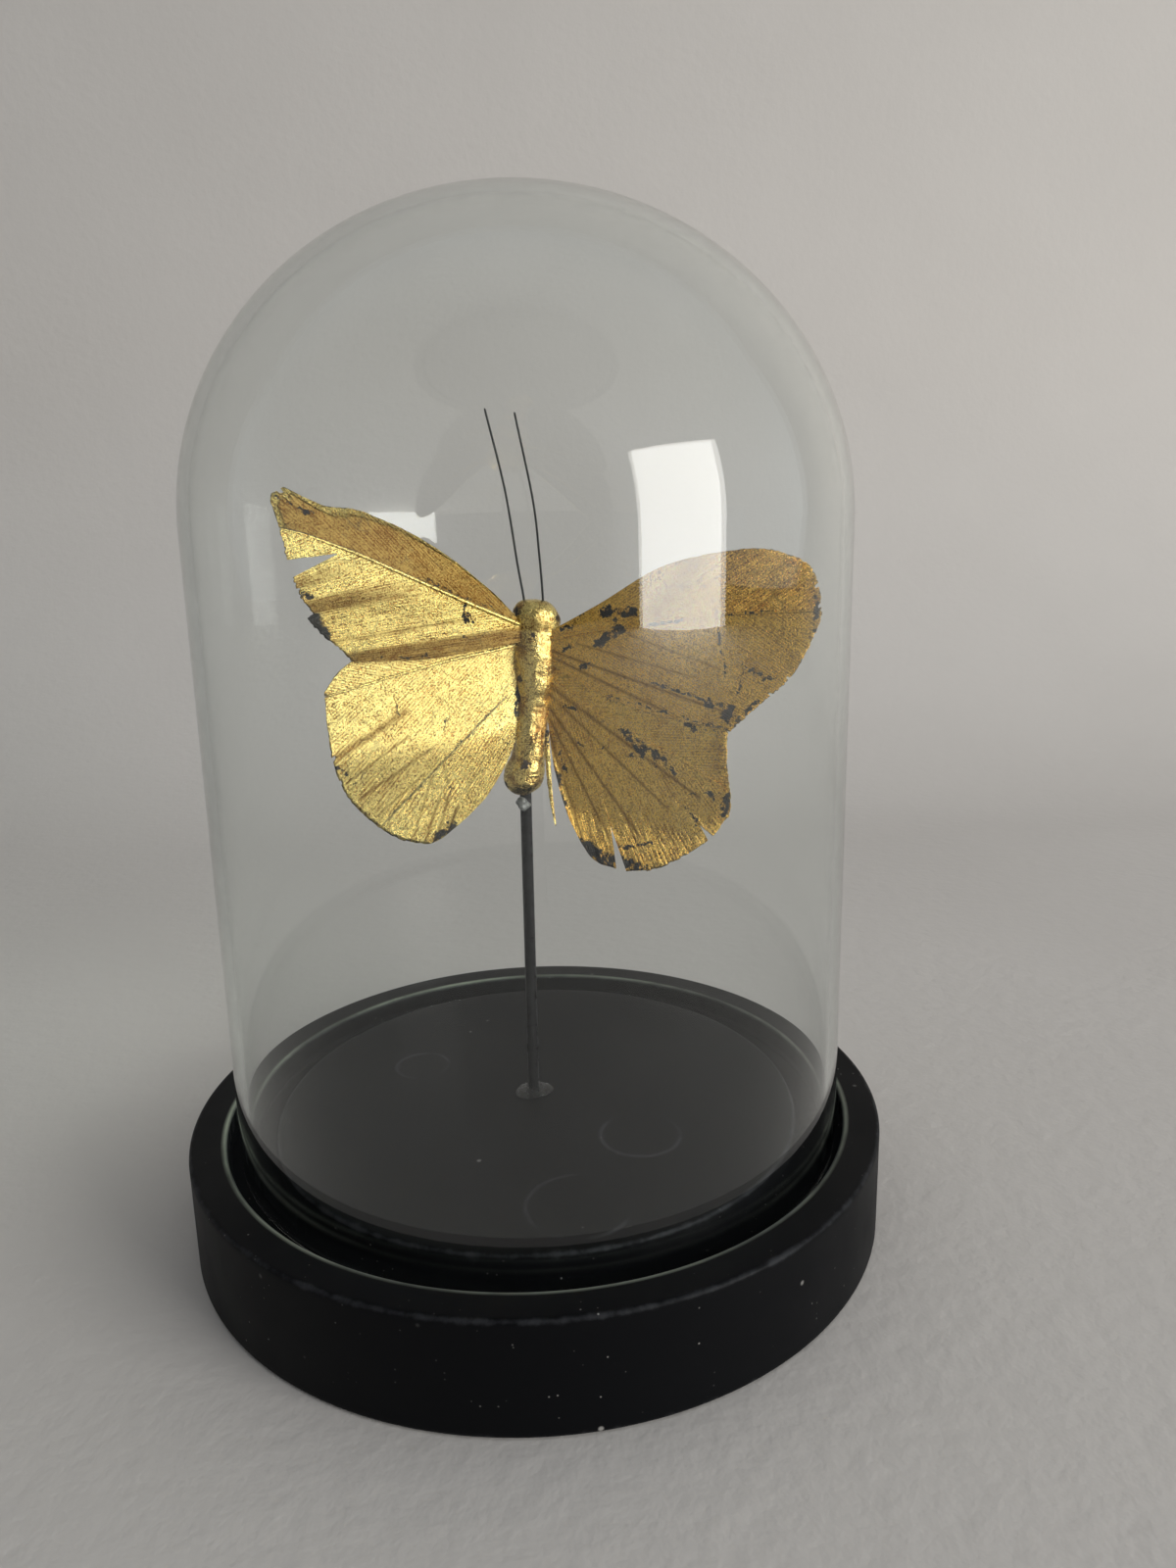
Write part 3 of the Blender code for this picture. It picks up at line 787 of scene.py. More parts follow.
def feather(name, vanes, lifts, quill_path, quill_lift, turn, front, materials):
    """Vanes and quill as one mesh: two skins a vane, which meet all round its border.

    Front skin = lift + barb relief; the back skin lies a vane's thickness behind it.
    """
    points, faces, side, marks = [], [], [], {key: [] for key in VANE_MARKS}
    count = 0
    for vane, lift in zip(vanes, lifts):
        thickness = np.full(lift.shape, VANE_THICKNESS)
        thickness[[0, -1]] = 0.0
        thickness[:, [0, -1]] = 0.0
        relief = barb_relief(vane["barb"])
        for skin_side, depth in enumerate((0.0, thickness)):
            skin = place_wing(vane["span"], lift + relief - depth, vane["rise"], turn, front)
            points.append(skin.reshape(-1, 3))
            quads = grid_faces(*lift.shape) + count
            faces.append(quads)
            side.append(np.full(len(quads), skin_side))
            count += lift.size
            for key, values in marks.items():
                values.append(np.broadcast_to(vane.get(key, 0.0), lift.shape).ravel())
    path = place_wing(quill_path[:, 0], quill_lift, quill_path[:, 1], turn, front)
    share = np.linspace(0, 1, len(path))
    radius = MM * (QUILL_RADIUS - QUILL_TAPER * share) * np.clip(np.minimum(share, 1 - share) * 60, 0, 1)
    rings = tube_points(path, radius, QUILL_SIDES)
    points.append(rings.reshape(-1, 3))
    quads = grid_faces(len(path), QUILL_SIDES, False, True) + count
    faces.append(quads)
    side.append(np.zeros(len(quads), int))
    flat = np.ones((len(path), QUILL_SIDES))
    quill_marks = {"span": quill_path[:, :1], "rise": quill_path[:, 1:], "margin": 20.0, "barb": 0.5}
    for key, values in marks.items():
        values.append((quill_marks.get(key, 0.0) * flat).ravel())
    mesh = bpy.data.meshes.new(name)
    mesh.from_pydata(np.concatenate(points), [], np.concatenate(faces).tolist())
    mesh.polygons.foreach_set("material_index", np.concatenate(side))
    for key, values in marks.items():
        layer = mesh.attributes.new(key, "FLOAT", "POINT")
        layer.data.foreach_set("value", np.concatenate(values).astype(np.float32))
    piece = add_piece(name, mesh, materials[0])
    piece.data.materials.append(materials[1])
    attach(piece, "root")
    return piece


def tear_group():
    """How near a place is to a line between two points: 1 on it, one half at Width from it."""
    group, given, result = new_group(
        "leaf_tear",
        (("Place", "Vector", None), ("From", "Vector", None), ("To", "Vector", None),
         ("Width", "Float", 0.5)),
        (("Nearness", "Float"),),
    )
    offset = vector_calc(group, "SUBTRACT", given["Place"], given["From"])
    run = vector_calc(group, "SUBTRACT", given["To"], given["From"])
    share = calc(group, "DIVIDE", vector_calc(group, "DOT_PRODUCT", offset, run),
                 vector_calc(group, "DOT_PRODUCT", run, run))
    foot = vector_calc(group, "SCALE", run, put(group, "Clamp", {0: share}).outputs[0])
    away = vector_calc(group, "DISTANCE", offset, foot)
    ratio = calc(group, "DIVIDE", away, given["Width"])
    near = calc(group, "MAXIMUM", calc(group, "MULTIPLY_ADD", ratio, -0.5, 1.0), 0.0)
    group.links.new(near, result["Nearness"])
    return group


def gilded_wing(name, outline, quill, vanes, lift, finish, wrinkles, leaf, quill_lift, turn, front):
    """A whole wing; each vane is given as its barb angles, rows, seed and raggedness.

    Finish stores the vane's marks; lift gives its height in millimetres, which wrinkles add to.
    """
    border, line = wing_outline(outline), quill_line(quill)
    grids = [barb_grid(border, line, *vane) for vane in vanes]
    for grid in grids:
        grid["above"] = grid["rise"] - np.interp(grid["span"], *line.T)
        finish(grid)
    lifts = [lift(grid) + crinkle(grid, *wrinkles) for grid in grids]
    return feather(name, grids, lifts, smooth_path(quill, QUILL_STEPS), quill_lift, turn, front,
                   (leaf, FEATHER_BACK))


LEAF_TEAR = tear_group()
# dark tint multiplied into the leaf for dull bands and painted shade
DULL_AND_SHADE_TINT = (0.35, 0.29, 0.24, 1.0)


def barb_crest(tree):
    """1 along the middle of every barb and 0 between two: |sin(pi barb)|."""
    wave = calc(tree, "SINE", calc(tree, "MULTIPLY", attribute(tree, "barb"), math.pi))
    return calc(tree, "ABSOLUTE", wave)


def gilded_feather(name, tears, light, deep, specks, crackle):
    """Leaf over barbs: grooves and streaks follow the barbs, tears lay the feather bare, painted shade
    darkens it beside the quills and on dull bands, and painted glints brighten ruffled leaf.
    """
    material, tree, shader = new_material(name)
    place = object_place(tree)
    barb, reach = attribute(tree, "barb"), attribute(tree, "reach")
    flat = put(tree, "CombineXYZ", {0: attribute(tree, "span"), 1: attribute(tree, "rise")}).outputs[0]
    wander = put(tree, "TexNoise", {"Vector": flat, "Scale": 0.42, "Detail": 3.0, "Roughness": 0.7})
    wander = vector_calc(tree, "SUBTRACT", wander.outputs["Color"], (0.5, 0.5, 0.5))
    spot = vector_calc(tree, "ADD", flat, vector_calc(tree, "SCALE", wander, 3.4))
    loss = 0.0
    for *line, width in tears:
        ends = {"From": (*line[:2], 0.0), "To": (*line[2:], 0.0)}
        near = use_group(tree, LEAF_TEAR, {"Place": spot, "Width": width, **ends})["Nearness"]
        loss = calc(tree, "MAXIMUM", near, loss)
    border = ramp(tree, attribute(tree, "margin"), 0.0, 0.6, 0.44, 0.0)
    root = ramp(tree, attribute(tree, "span"), 2.2, 3.9, 0.80, 0.0)
    loss = calc(tree, "MAXIMUM", loss, calc(tree, "MAXIMUM", border, root))
    grooves_and_painted_light = ramp(tree, barb_crest(tree), 0.0, 0.75, 1.0, 0.0)
    along = put(tree, "CombineXYZ", {0: calc(tree, "MULTIPLY", barb, 1.9),
                                     1: calc(tree, "MULTIPLY", reach, 0.14)}).outputs[0]
    streak = noise(tree, along, 1.0, 3.0, 0.6)
    combed = ramp(tree, noise(tree, place, 70.0, 2.0), 0.40, 0.60, 0.35, 1.0)
    grooves_and_painted_light = calc(tree, "MULTIPLY_ADD", ramp(tree, streak, 0.35, 0.65, 0.6, -0.3), 0.6,
                  calc(tree, "MULTIPLY", grooves_and_painted_light, combed))
    dull_and_painted_shade, ruffle = attribute(tree, "dull_and_painted_shade"), attribute(tree, "ruffle")
    # painted shade: the dull mark darkens the tone, besides making the leaf rougher
    grooves_and_painted_light = calc(tree, "MULTIPLY_ADD", dull_and_painted_shade, 0.25, grooves_and_painted_light)
    # painted highlight: bright streaks on ruffled leaf
    painted_glints = calc(tree, "MULTIPLY", ramp(tree, streak, 0.52, 0.60), ruffle)
    grooves_and_painted_light = calc(tree, "MULTIPLY_ADD", painted_glints, -1.8, grooves_and_painted_light)
    leaf = use_group(tree, GOLD_LEAF, {"Vector": place, "Loss": loss, "Groove_and_painted_light": grooves_and_painted_light, "Specks": specks,
                                       "Crackle": crackle, "Light": light, "Deep": deep})
    combing = calc(tree, "MULTIPLY", streak, calc(tree, "MULTIPLY_ADD", ruffle, 2.6, 0.4))
    deeper = calc(tree, "MULTIPLY_ADD", ruffle, 1.2, 1.0)
    height = calc(tree, "MULTIPLY_ADD", leaf["Height"], deeper, combing)
    # bare mark: black where the leaf is gone, and painted shade along the quills
    bare_and_painted_shade = attribute(tree, "bare_and_painted_shade")
    # painted shade: the dull mark multiplies the leaf colour by a dark tint
    colour = tint(tree, dull_and_painted_shade, leaf["Color"], DULL_AND_SHADE_TINT, "MULTIPLY")
    feed(tree, shader, Base_Color=tint(tree, bare_and_painted_shade, colour, BARE_AND_SHADE_BLACK),
         Metallic=calc(tree, "MULTIPLY", leaf["Metallic"], calc(tree, "SUBTRACT", 1.0, bare_and_painted_shade)),
         Roughness=calc(tree, "MULTIPLY_ADD", dull_and_painted_shade, 0.12, leaf["Roughness"]),
         Normal=bump(tree, height, 0.34 * MM, 1.0))
    return material


def dark_feather():
    """The ungilded back: matt brown-black barbs with flecks of leaf wrapped over the margin."""
    material, tree, shader = new_material("black_feather_back")
    place = object_place(tree)
    crest = barb_crest(tree)
    cloud = noise(tree, place, 260.0, 5.0, 0.6)
    brown = tint(tree, cloud, (0.010, 0.009, 0.009, 1.0), (0.045, 0.034, 0.026, 1.0))
    brown = tint(tree, calc(tree, "MULTIPLY", crest, 0.45), (0.006, 0.006, 0.006, 1.0), brown)
    edge = ramp(tree, attribute(tree, "margin"), 0.0, 1.3, 0.62, 0.0)
    specks = calc(tree, "MULTIPLY", noise(tree, place, 1500.0, 5.0), 0.75)
    fleck = ramp(tree, calc(tree, "ADD", edge, specks), 0.78, 0.86)
    colour = tint(tree, fleck, brown, LEAF_LIGHT)
    height = calc(tree, "MULTIPLY_ADD", cloud, 0.5, crest)
    feed(tree, shader, Base_Color=colour, Metallic=fleck,
         Roughness=ramp(tree, fleck, 0.0, 1.0, 0.55, 0.35), Normal=bump(tree, height, 0.08 * MM, 0.8),
         Sheen_Weight=0.25, Sheen_Roughness=0.4)
    return material


FEATHER_BACK = dark_feather()
LEFT_FOREWING = (
    ((3.4, 5.0), (11.5, 12.3), (25.3, 21.3), (41.0, 27.4), (50.5, 28.3), (58.5, 31.3)),
    ((58.5, 31.3), (61.3, 29.0), (60.0, 23.0), (58.3, 16.7)),
    ((58.3, 16.7), (47.8, 18.5)),
    ((47.8, 18.5), (57.0, 13.2)),
    ((57.0, 13.2), (55.4, 9.0), (52.7, 6.0)),
    ((52.7, 6.0), (54.2, 5.0)),
    ((54.2, 5.0), (50.1, 1.2), (46.7, -1.3), (43.6, -4.2)),
    ((43.6, -4.2), (33.0, -3.6), (23.0, -2.6), (3.4, 1.2)),
    ((3.4, 1.2), (3.4, 5.0)),
)
LEFT_FORE_QUILL = ((3.6, 4.8), (18.5, 9.8), (31.3, 14.4), (41.8, 18.2), (47.9, 20.1), (54.3, 21.9),
                   (59.8, 22.9))
LEFT_FORE_LOWER = ((-30, -6), (-8, -7.5), (12, -11), (25, -12.5), (34, -15), (41, -21), (48, -24), (60, -26))
LEFT_FORE_UPPER = ((-30, 42), (40, 42), (60, 34))
LEFT_FORE_VANES = ((LEFT_FORE_LOWER, 60, 41, 0.35), (LEFT_FORE_UPPER, 26, 42, 0.35))
# Pleats of the lower vane: start on the quill, height at full reach; a sloping band is dull and darkened by
# painted shade.
LEFT_PLEATS = ((-14, 2.5), (-9, 1.7), (-2, 0.25), (8, 0.2), (9.6, -0.35), (12, -0.3), (19, -0.35),
               (30, 1.05), (37.0, 1.1), (42.6, -0.1), (60, 0.0))
LEFT_DULL_AND_SHADE_BANDS = ((-20, 1), (2.4, 1), (4.2, 0), (9.0, 0), (9.8, 0.6), (10.8, 0.6), (11.6, 0.1),
                   (23.5, 0.1), (25.5, 0.9), (30.8, 0.9), (32.4, 0), (37.5, 0), (39.0, 0.6), (42.0, 0.6),
                   (43.5, 0), (60, 0))
LEFT_FLAP = (48.2, -0.2, 50.6, 5.2)  # the leaf is gone beyond this line, up to LEFT_FLAP_TOP
LEFT_FLAP_TOP = 6.4
LEFT_FORE_TEARS = (
    (18.5, 9.2, 17.9, 4.6, 0.42), (18.0, 5.0, 17.8, 1.6, 0.26), (17.4, 7.0, 16.4, 5.4, 0.42),
    (60.4, 29.1, 56.0, 27.5, 0.26), (56.0, 27.4, 52.8, 26.1, 0.50), (54.8, 9.9, 53.2, 9.5, 0.55),
    (52.6, 4.0, 50.0, 1.4, 1.50), (40.2, -3.4, 22.0, -2.2, 0.20), (10.0, 7.9, 30.0, 14.8, 0.20), )


def rounded(x, table, width):
    """The broken line through a table, with its corners rounded over a width."""
    at = np.array(table, float).T
    offsets = np.linspace(-width, width, 5)
    return sum(np.interp(x + offset, *at) for offset in offsets) / len(offsets)


def right_of_line(vane, line):
    """The cross product of a line's run with the offset from it: positive at its right."""
    from_span, from_rise, to_span, to_rise = line
    return ((vane["span"] - from_span) * (to_rise - from_rise)
            - (vane["rise"] - from_rise) * (to_span - from_span))


def left_forewing_lift(vane):
    """Lower vane: pleats growing with reach. Upper vane: leans back, its edge rolled forward."""
    grown = np.clip(vane["reach"] / 20.0, 0.0, 1.0)
    grown = grown * grown * (3 - 2 * grown)
    lower = rounded(vane["start"], LEFT_PLEATS, 0.8) * grown - 0.02 * vane["reach"] * grown
    rolled = np.clip(2.4 - vane["margin"], 0.0, 2.4) * np.clip((56.0 - vane["span"]) / 6.0, 0.0, 1.0)
    crinkled = lattice_noise(vane["span"] / 1.3, vane["margin"] / 3, 31)
    upper = -0.34 * vane["above"] + 0.10 * rolled * (1 + crinkled)
    curled = np.exp(-np.hypot(vane["span"] - 53.5, (vane["rise"] - 3.5) * 0.8) / 2.6) * 1.3
    return FRONT_LAYER + 0.5 + np.where(vane["above"] > 0, upper, lower + curled)


def left_forewing_finish(vane):
    """Dull and darkened by painted shade where a pleat slopes and on the upper vane, except its crinkled
    rolled edge; painted shade lines the upper side of the quill.
    """
    top = vane["above"] > 0
    grown = np.clip(vane["reach"] / 16.0, 0.0, 1.0)
    bands = rounded(vane["start"], LEFT_DULL_AND_SHADE_BANDS, 0.7) * np.where(vane["start"] < 6.0, 1.0, grown)
    edge = 1.5 + 1.2 * np.exp(-(((vane["span"] - 50) / 5.0) ** 2))
    upper = np.clip((vane["margin"] - edge) / 0.7, 0.0, 1.0)
    vane["dull_and_painted_shade"] = np.where(top, upper, bands)
    vane["ruffle"] = np.where(top, 1.0 - upper, 0.12)
    flap = np.clip(right_of_line(vane, LEFT_FLAP) * 0.6, 0.0, 1.0)
    flap = flap * np.clip((LEFT_FLAP_TOP - vane["rise"]) * 3, 0.0, 1.0)
    # painted shade: a dark line along the upper side of the quill
    painted_quill_shade = 0.8 * np.clip((1.3 - vane["reach"]) / 0.7, 0.0, 1.0)
    vane["bare_and_painted_shade"] = np.where(top, painted_quill_shade, flap)


left_fore_leaf = gilded_feather("gilded_left_forewing", LEFT_FORE_TEARS, LEAF_LIGHT, LEAF_DEEP, 0.50, 0.35)
left_forewing = gilded_wing("left_forewing_feather", LEFT_FOREWING, LEFT_FORE_QUILL, LEFT_FORE_VANES,
                            left_forewing_lift, left_forewing_finish, (51, 0.10, 0.05), left_fore_leaf,
                            FRONT_LAYER + 0.62, LEFT_TURN, 1)
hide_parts("left_forewing")


# ---------------------------------------------------------------------------------------
# Left hindwing: a rounder feather behind the forewing, its quill near the top edge.
# The leaf is bright and lightly streaked, with long creases down the fan of barbs.

LEFT_HINDWING = (
    ((3.2, 2.0), (23.0, 1.5), (38.0, -1.5), (43.6, -4.2)),
    ((43.6, -4.2), (46.6, -6.8), (49.2, -11.0)),
    ((49.2, -11.0), (48.7, -16.0), (47.1, -26.2), (43.0, -35.1), (34.5, -42.7),
     (27.0, -45.5), (21.7, -44.5), (11.7, -36.7), (6.3, -29.0)),
    ((6.3, -29.0), (3.9, -24.0), (2.3, -17.0), (2.2, -8.0), (3.2, 2.0)),
)
LEFT_HIND_QUILL = ((3.2, 0.4), (9.0, -1.1), (19.9, -3.5), (32.8, -7.1), (48.8, -11.9))
LEFT_HIND_LOWER = ((-60, -58), (-8, -56), (8, -50), (25, -45), (40, -42), (60, -38))
LEFT_HIND_UPPER = ((-30, 9), (60, 10))
LEFT_HIND_VANES = ((LEFT_HIND_LOWER, 56, 43, 0.25), (LEFT_HIND_UPPER, 30, 44, 0.1))
LEFT_LONG_CREASE = (4.0, -10.0, 35.8, -40.9)
LEFT_HIND_CREASES = ((*LEFT_LONG_CREASE, 0.8, 0.28), (9.0, -8.0, 43.0, -30.5, 0.7, 0.10),
                     (20.7, -28.1, 29.1, -43.7, 0.6, 0.14))
LEFT_HIND_STREAKS = (
    (46.5, -25.5, 31.0, -15.5, 1.1, 0.9), (44.0, -31.0, 30.0, -21.0, 0.35, 0.8),
    (41.0, -34.5, 24.0, -23.5, 0.5, 0.8), (37.0, -38.5, 26.0, -29.5, 0.35, 0.8),
    (18.0, -37.5, 20.5, -44.0, 0.4, 1.0), (20.0, -35.0, 23.0, -44.6, 0.35, 0.9),
    (22.5, -36.0, 25.5, -44.8, 0.45, 0.9), (24.0, -30.0, 28.5, -44.5, 0.3, 0.8),
    (33.0, -31.0, 36.5, -40.5, 0.3, 0.6),
)
LEFT_HIND_FOLD = ((6.0, -11.9, 35.8, -40.9, 0.24, 0.75),)
LEFT_HIND_TEARS = (
    (8.0, -13.9, 35.8, -40.9, 0.16), (32.9, -13.3, 32.2, -16.4, 0.20), (20.7, -16.6, 21.4, -19.4, 0.26),
    (19.0, -41.6, 23.5, -44.7, 0.90), (46.1, -27.2, 44.0, -28.8, 0.50), (6.2, -16.3, 7.4, -18.6, 0.16),
    (7.4, -18.6, 7.0, -21.4, 0.16), (7.0, -21.4, 4.8, -23.4, 0.16), (3.2, -9.0, 3.4, -16.5, 0.34),
    (49.0, -10.6, 48.6, -12.0, 0.5), (38.0, -27.4, 44.4, -33.4, 0.13), (29.2, -40.2, 25.4, -45.0, 0.16),
    (19.5, -32.6, 19.7, -34.0, 0.3),
)


def from_line(vane, line):
    """Distance in mm to the line between two points, and how far along it the nearest point is."""
    from_span, from_rise, to_span, to_rise = line
    run = np.array([to_span - from_span, to_rise - from_rise])
    offset_x, offset_y = vane["span"] - from_span, vane["rise"] - from_rise
    share = np.clip((offset_x * run[0] + offset_y * run[1]) / (run @ run), 0, 1)
    return np.hypot(offset_x - share * run[0], offset_y - share * run[1]), share


def crease(vane, creases):
    """Sum of soft valleys: -depth exp(-(distance to the crease's line / width)^2)."""
    total = 0.0
    for *line, width, depth in creases:
        away, share = from_line(vane, line)
        total = total - depth * np.exp(-((away / width) ** 2)) * np.sqrt(share)
    return total


def streaks(vane, lines):
    """Greatest of soft lines: strength exp(-(distance to the line / width)^2)."""
    total = np.zeros_like(vane["span"])
    for *line, width, strength in lines:
        total = np.maximum(total, strength * np.exp(-((from_line(vane, line)[0] / width) ** 2)))
    return total


def margin_flutes(vane, seed, period, size, reach_for_full):
    """Small waves across the barbs that grow from the quill to the margin."""
    wave = lattice_noise(vane["start"] / period + 60, 0 * vane["start"] + 0.5, seed)
    return size * wave * np.clip(vane["reach"] / reach_for_full, 0, 1) ** 2


def left_hindwing_lift(vane):
    """Cupped forward below the quill, with creases, and flutes near the bottom margin."""
    above = vane["above"]
    cup = 0.00105 * np.minimum(above, 0) ** 2 - 0.045 * np.minimum(above, 0) + 0.045 * np.maximum(above, 0)
    folds = crease(vane, LEFT_HIND_CREASES)
    flutes = margin_flutes(vane, 61, 2.2, 0.22, 42) + margin_flutes(vane, 62, 0.9, 0.10, 40)
    return BACK_LAYER - 0.1 + cup + np.where(above > 0, 0, folds + flutes)


def left_hindwing_finish(vane):
    """Combed towards the margin, dull and darker in streaks, darkened by painted shade above the long crease
    and along the lower side of the quill, and dark along its fold.
    """
    vane["ruffle"] = np.clip((vane["reach"] - 26.0) / 16.0, 0.0, 0.5)
    # painted shade: a dark line along the lower side of the quill
    root = 0.65 * np.clip((0.95 - vane["reach"]) / 0.5, 0.0, 1.0) * (vane["rise"] < 0)
    vane["bare_and_painted_shade"] = np.maximum(root, streaks(vane, LEFT_HIND_FOLD))
    # painted shade: the vane above the long crease is darker
    above_crease = 0.20 * np.clip(-right_of_line(vane, LEFT_LONG_CREASE) / 90.0, 0.0, 1.0)
    vane["dull_and_painted_shade"] = np.maximum(above_crease, streaks(vane, LEFT_HIND_STREAKS))


left_hind_leaf = gilded_feather("gilded_left_hindwing", LEFT_HIND_TEARS, (0.99, 0.82, 0.31, 1.0),
                                (0.46, 0.26, 0.070, 1.0), 0.55, 0.30)
left_hindwing = gilded_wing("left_hindwing_feather", LEFT_HINDWING, LEFT_HIND_QUILL, LEFT_HIND_VANES,
                            left_hindwing_lift, left_hindwing_finish, (53, 0.12, 0.045), left_hind_leaf,
                            BACK_LAYER, LEFT_TURN, 1)
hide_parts("left_hindwing")


# ---------------------------------------------------------------------------------------
# Right forewing: the same cut of feather on the other side, flatter, with its leaf a warmer, browner copy of
# the gold as painted shade.
# Its leaf has come away in black patches near the root, across the tip and at the notch.

RIGHT_FOREWING = (
    ((3.8, 3.6), (17.3, 12.2), (28.0, 19.8), (37.2, 23.8), (49.0, 26.6), (54.3, 27.0)),
    ((54.3, 27.0), (62.4, 24.4), (65.9, 16.8), (65.3, 10.0), (61.6, 0.8), (55.5, -6.2),
     (49.5, -13.0)),
    ((49.5, -13.0), (33.6, -11.9), (19.3, -9.2), (3.8, -3.0)),
    ((3.8, -3.0), (3.8, 3.6)),
)
RIGHT_FORE_QUILL = ((4.0, 2.0), (13.8, 5.0), (27.5, 7.9), (36.8, 10.2), (48.0, 12.7), (58.4, 14.2),
                    (65.5, 15.3))
RIGHT_FORE_LOWER = ((-60, -21), (10, -23), (40, -27), (70, -34))
RIGHT_FORE_UPPER = ((-30, 36), (30, 38), (66, 44))
RIGHT_FORE_VANES = ((RIGHT_FORE_LOWER, 56, 45, 0.3), (RIGHT_FORE_UPPER, 30, 46, 0.35))
# painted shade: the right wings' leaf is a warmer, browner copy of the gold, for the side turned from the
# light
RIGHT_SHADED_LEAF_LIGHT = (0.98, 0.62, 0.15, 1.0)
RIGHT_SHADED_LEAF_DEEP = (0.50, 0.255, 0.045, 1.0)
RIGHT_FORE_STREAKS = (
    (6.0, -0.5, 49.0, -9.0, 0.35, 0.9), (12.0, 2.0, 40.0, -2.0, 0.30, 0.7),
    (24.0, 5.5, 46.0, 0.5, 0.30, 0.6), (30.0, 10.5, 38.0, 23.0, 2.2, 0.5),
    (5.5, -1.8, 34.0, -10.5, 0.40, 0.8),
)
RIGHT_FORE_TEARS = (
    (17.8, 9.6, 24.6, 10.4, 1.00), (18.4, 11.3, 20.6, 8.6, 0.80), (16.6, 2.6, 21.8, 6.6, 0.85),
    (8.6, 0.4, 10.0, 1.2, 0.50), (13.0, -3.5, 15.4, -2.2, 0.50), (7.4, 4.4, 12.4, 8.2, 0.45),
    (45.6, 5.6, 47.4, -1.3, 0.26), (43.4, 13.6, 45.6, 5.6, 0.22), (50.8, 1.6, 50.7, -3.8, 0.30),
    (50.8, 1.2, 53.4, 1.3, 0.26), (53.4, 1.5, 55.5, -0.3, 0.55), (55.5, -0.3, 57.9, 0.2, 0.36),
    (43.8, -6.9, 49.0, -7.8, 0.80), (48.4, -9.0, 50.8, -10.4, 1.25), (49.6, -11.0, 55.0, -5.8, 0.42),
    (30.5, -4.4, 44.0, -7.0, 0.30), (64.6, 17.0, 65.2, 11.0, 0.55), (29.0, 8.1, 37.0, 10.2, 0.32),
    (46.0, 12.4, 54.0, 13.6, 0.24), (49.4, -12.6, 20.0, -8.9, 0.26),
)


def right_tip(vane):
    """1 on the upper vane's tip, where the leaf is ruffled, and a little below the quill."""
    return np.clip((vane["span"] - 36.0) / 14.0, 0, 1) * np.where(vane["above"] > 0, 1.0, 0.2)


def tip_droop(span):
    """How far the wing's outer half falls back, in millimetres."""
    return 0.0006 * np.maximum(span - 30, 0) ** 2


def right_forewing_lift(vane):
    """Gently cupped; fine ridges along the upper vane's barbs rise towards the tip."""
    tip = right_tip(vane)
    ridges = 0.26 * lattice_noise(vane["barb"] / 1.6, 0.25 * vane["reach"], 71) * tip
    hem = 0.25 * lattice_noise(vane["span"] / 2.0, vane["rise"] / 2.0 + 40, 72)
    hem = hem * np.clip(1.5 - vane["margin"], 0, 1.5) * tip
    return FRONT_LAYER + 0.3 - 0.0022 * vane["above"]**2 - tip_droop(vane["span"]) + ridges + hem


def right_forewing_finish(vane):
    """Ruffled at the tip, dull and darker in streaks, and darkened by painted shade along the upper side of
    the quill.
    """
    vane["ruffle"] = right_tip(vane)
    vane["dull_and_painted_shade"] = streaks(vane, RIGHT_FORE_STREAKS)
    # painted shade: a dark line along the upper side of the quill
    vane["bare_and_painted_shade"] = 0.6 * np.clip((0.7 - vane["reach"]) / 0.4, 0.0, 1.0) * (vane["rise"] > 12)


right_fore_leaf = gilded_feather("gilded_right_forewing", RIGHT_FORE_TEARS, RIGHT_SHADED_LEAF_LIGHT, RIGHT_SHADED_LEAF_DEEP,
                                 0.55, 0.45)
right_fore_lift = FRONT_LAYER + 0.25 - tip_droop(smooth_path(RIGHT_FORE_QUILL, QUILL_STEPS)[:, 0])
right_forewing = gilded_wing("right_forewing_feather", RIGHT_FOREWING, RIGHT_FORE_QUILL, RIGHT_FORE_VANES,
                             right_forewing_lift, right_forewing_finish, (55, 0.10, 0.03), right_fore_leaf,
                             right_fore_lift, RIGHT_TURN, -1)
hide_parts("right_forewing")


# ---------------------------------------------------------------------------------------
# Right hindwing: the largest feather, folded into a fan, with two tears in its hem.
# Its inner margin curls a little forward; the hem is ruffled and speckled black.

RIGHT_HINDWING = (
    ((4.2, -3.5), (25.0, -6.0), (42.0, -8.5), (49.0, -13.2)),
    ((49.0, -13.2), (49.6, -20.0), (51.6, -29.9), (50.6, -33.3), (48.3, -37.4)),
    ((48.3, -37.4), (44.2, -35.0)),
    ((44.2, -35.0), (47.4, -38.3)),
    ((47.4, -38.3), (42.5, -42.9), (34.8, -48.0), (27.1, -50.3)),
    ((27.1, -50.3), (23.0, -39.1)),
    ((23.0, -39.1), (25.6, -50.0)),
    ((25.6, -50.0), (19.1, -48.6), (13.5, -41.4), (8.8, -31.2), (5.9, -22.0)),
    ((5.9, -22.0), (4.6, -16.0), (4.2, -10.0), (4.2, -3.5)),
)
RIGHT_HIND_QUILL = ((4.2, -6.8), (9.0, -9.5), (25.9, -17.6), (38.0, -20.7), (50.5, -26.3))
RIGHT_HIND_LOWER = ((-60, -70), (-6, -70), (6, -69), (14, -62), (26, -52), (40, -44), (60, -40))
RIGHT_HIND_UPPER = ((-30, 8), (60, 8))
RIGHT_HIND_VANES = ((RIGHT_HIND_LOWER, 54, 47, 0.35), (RIGHT_HIND_UPPER, 40, 48, 0.2))
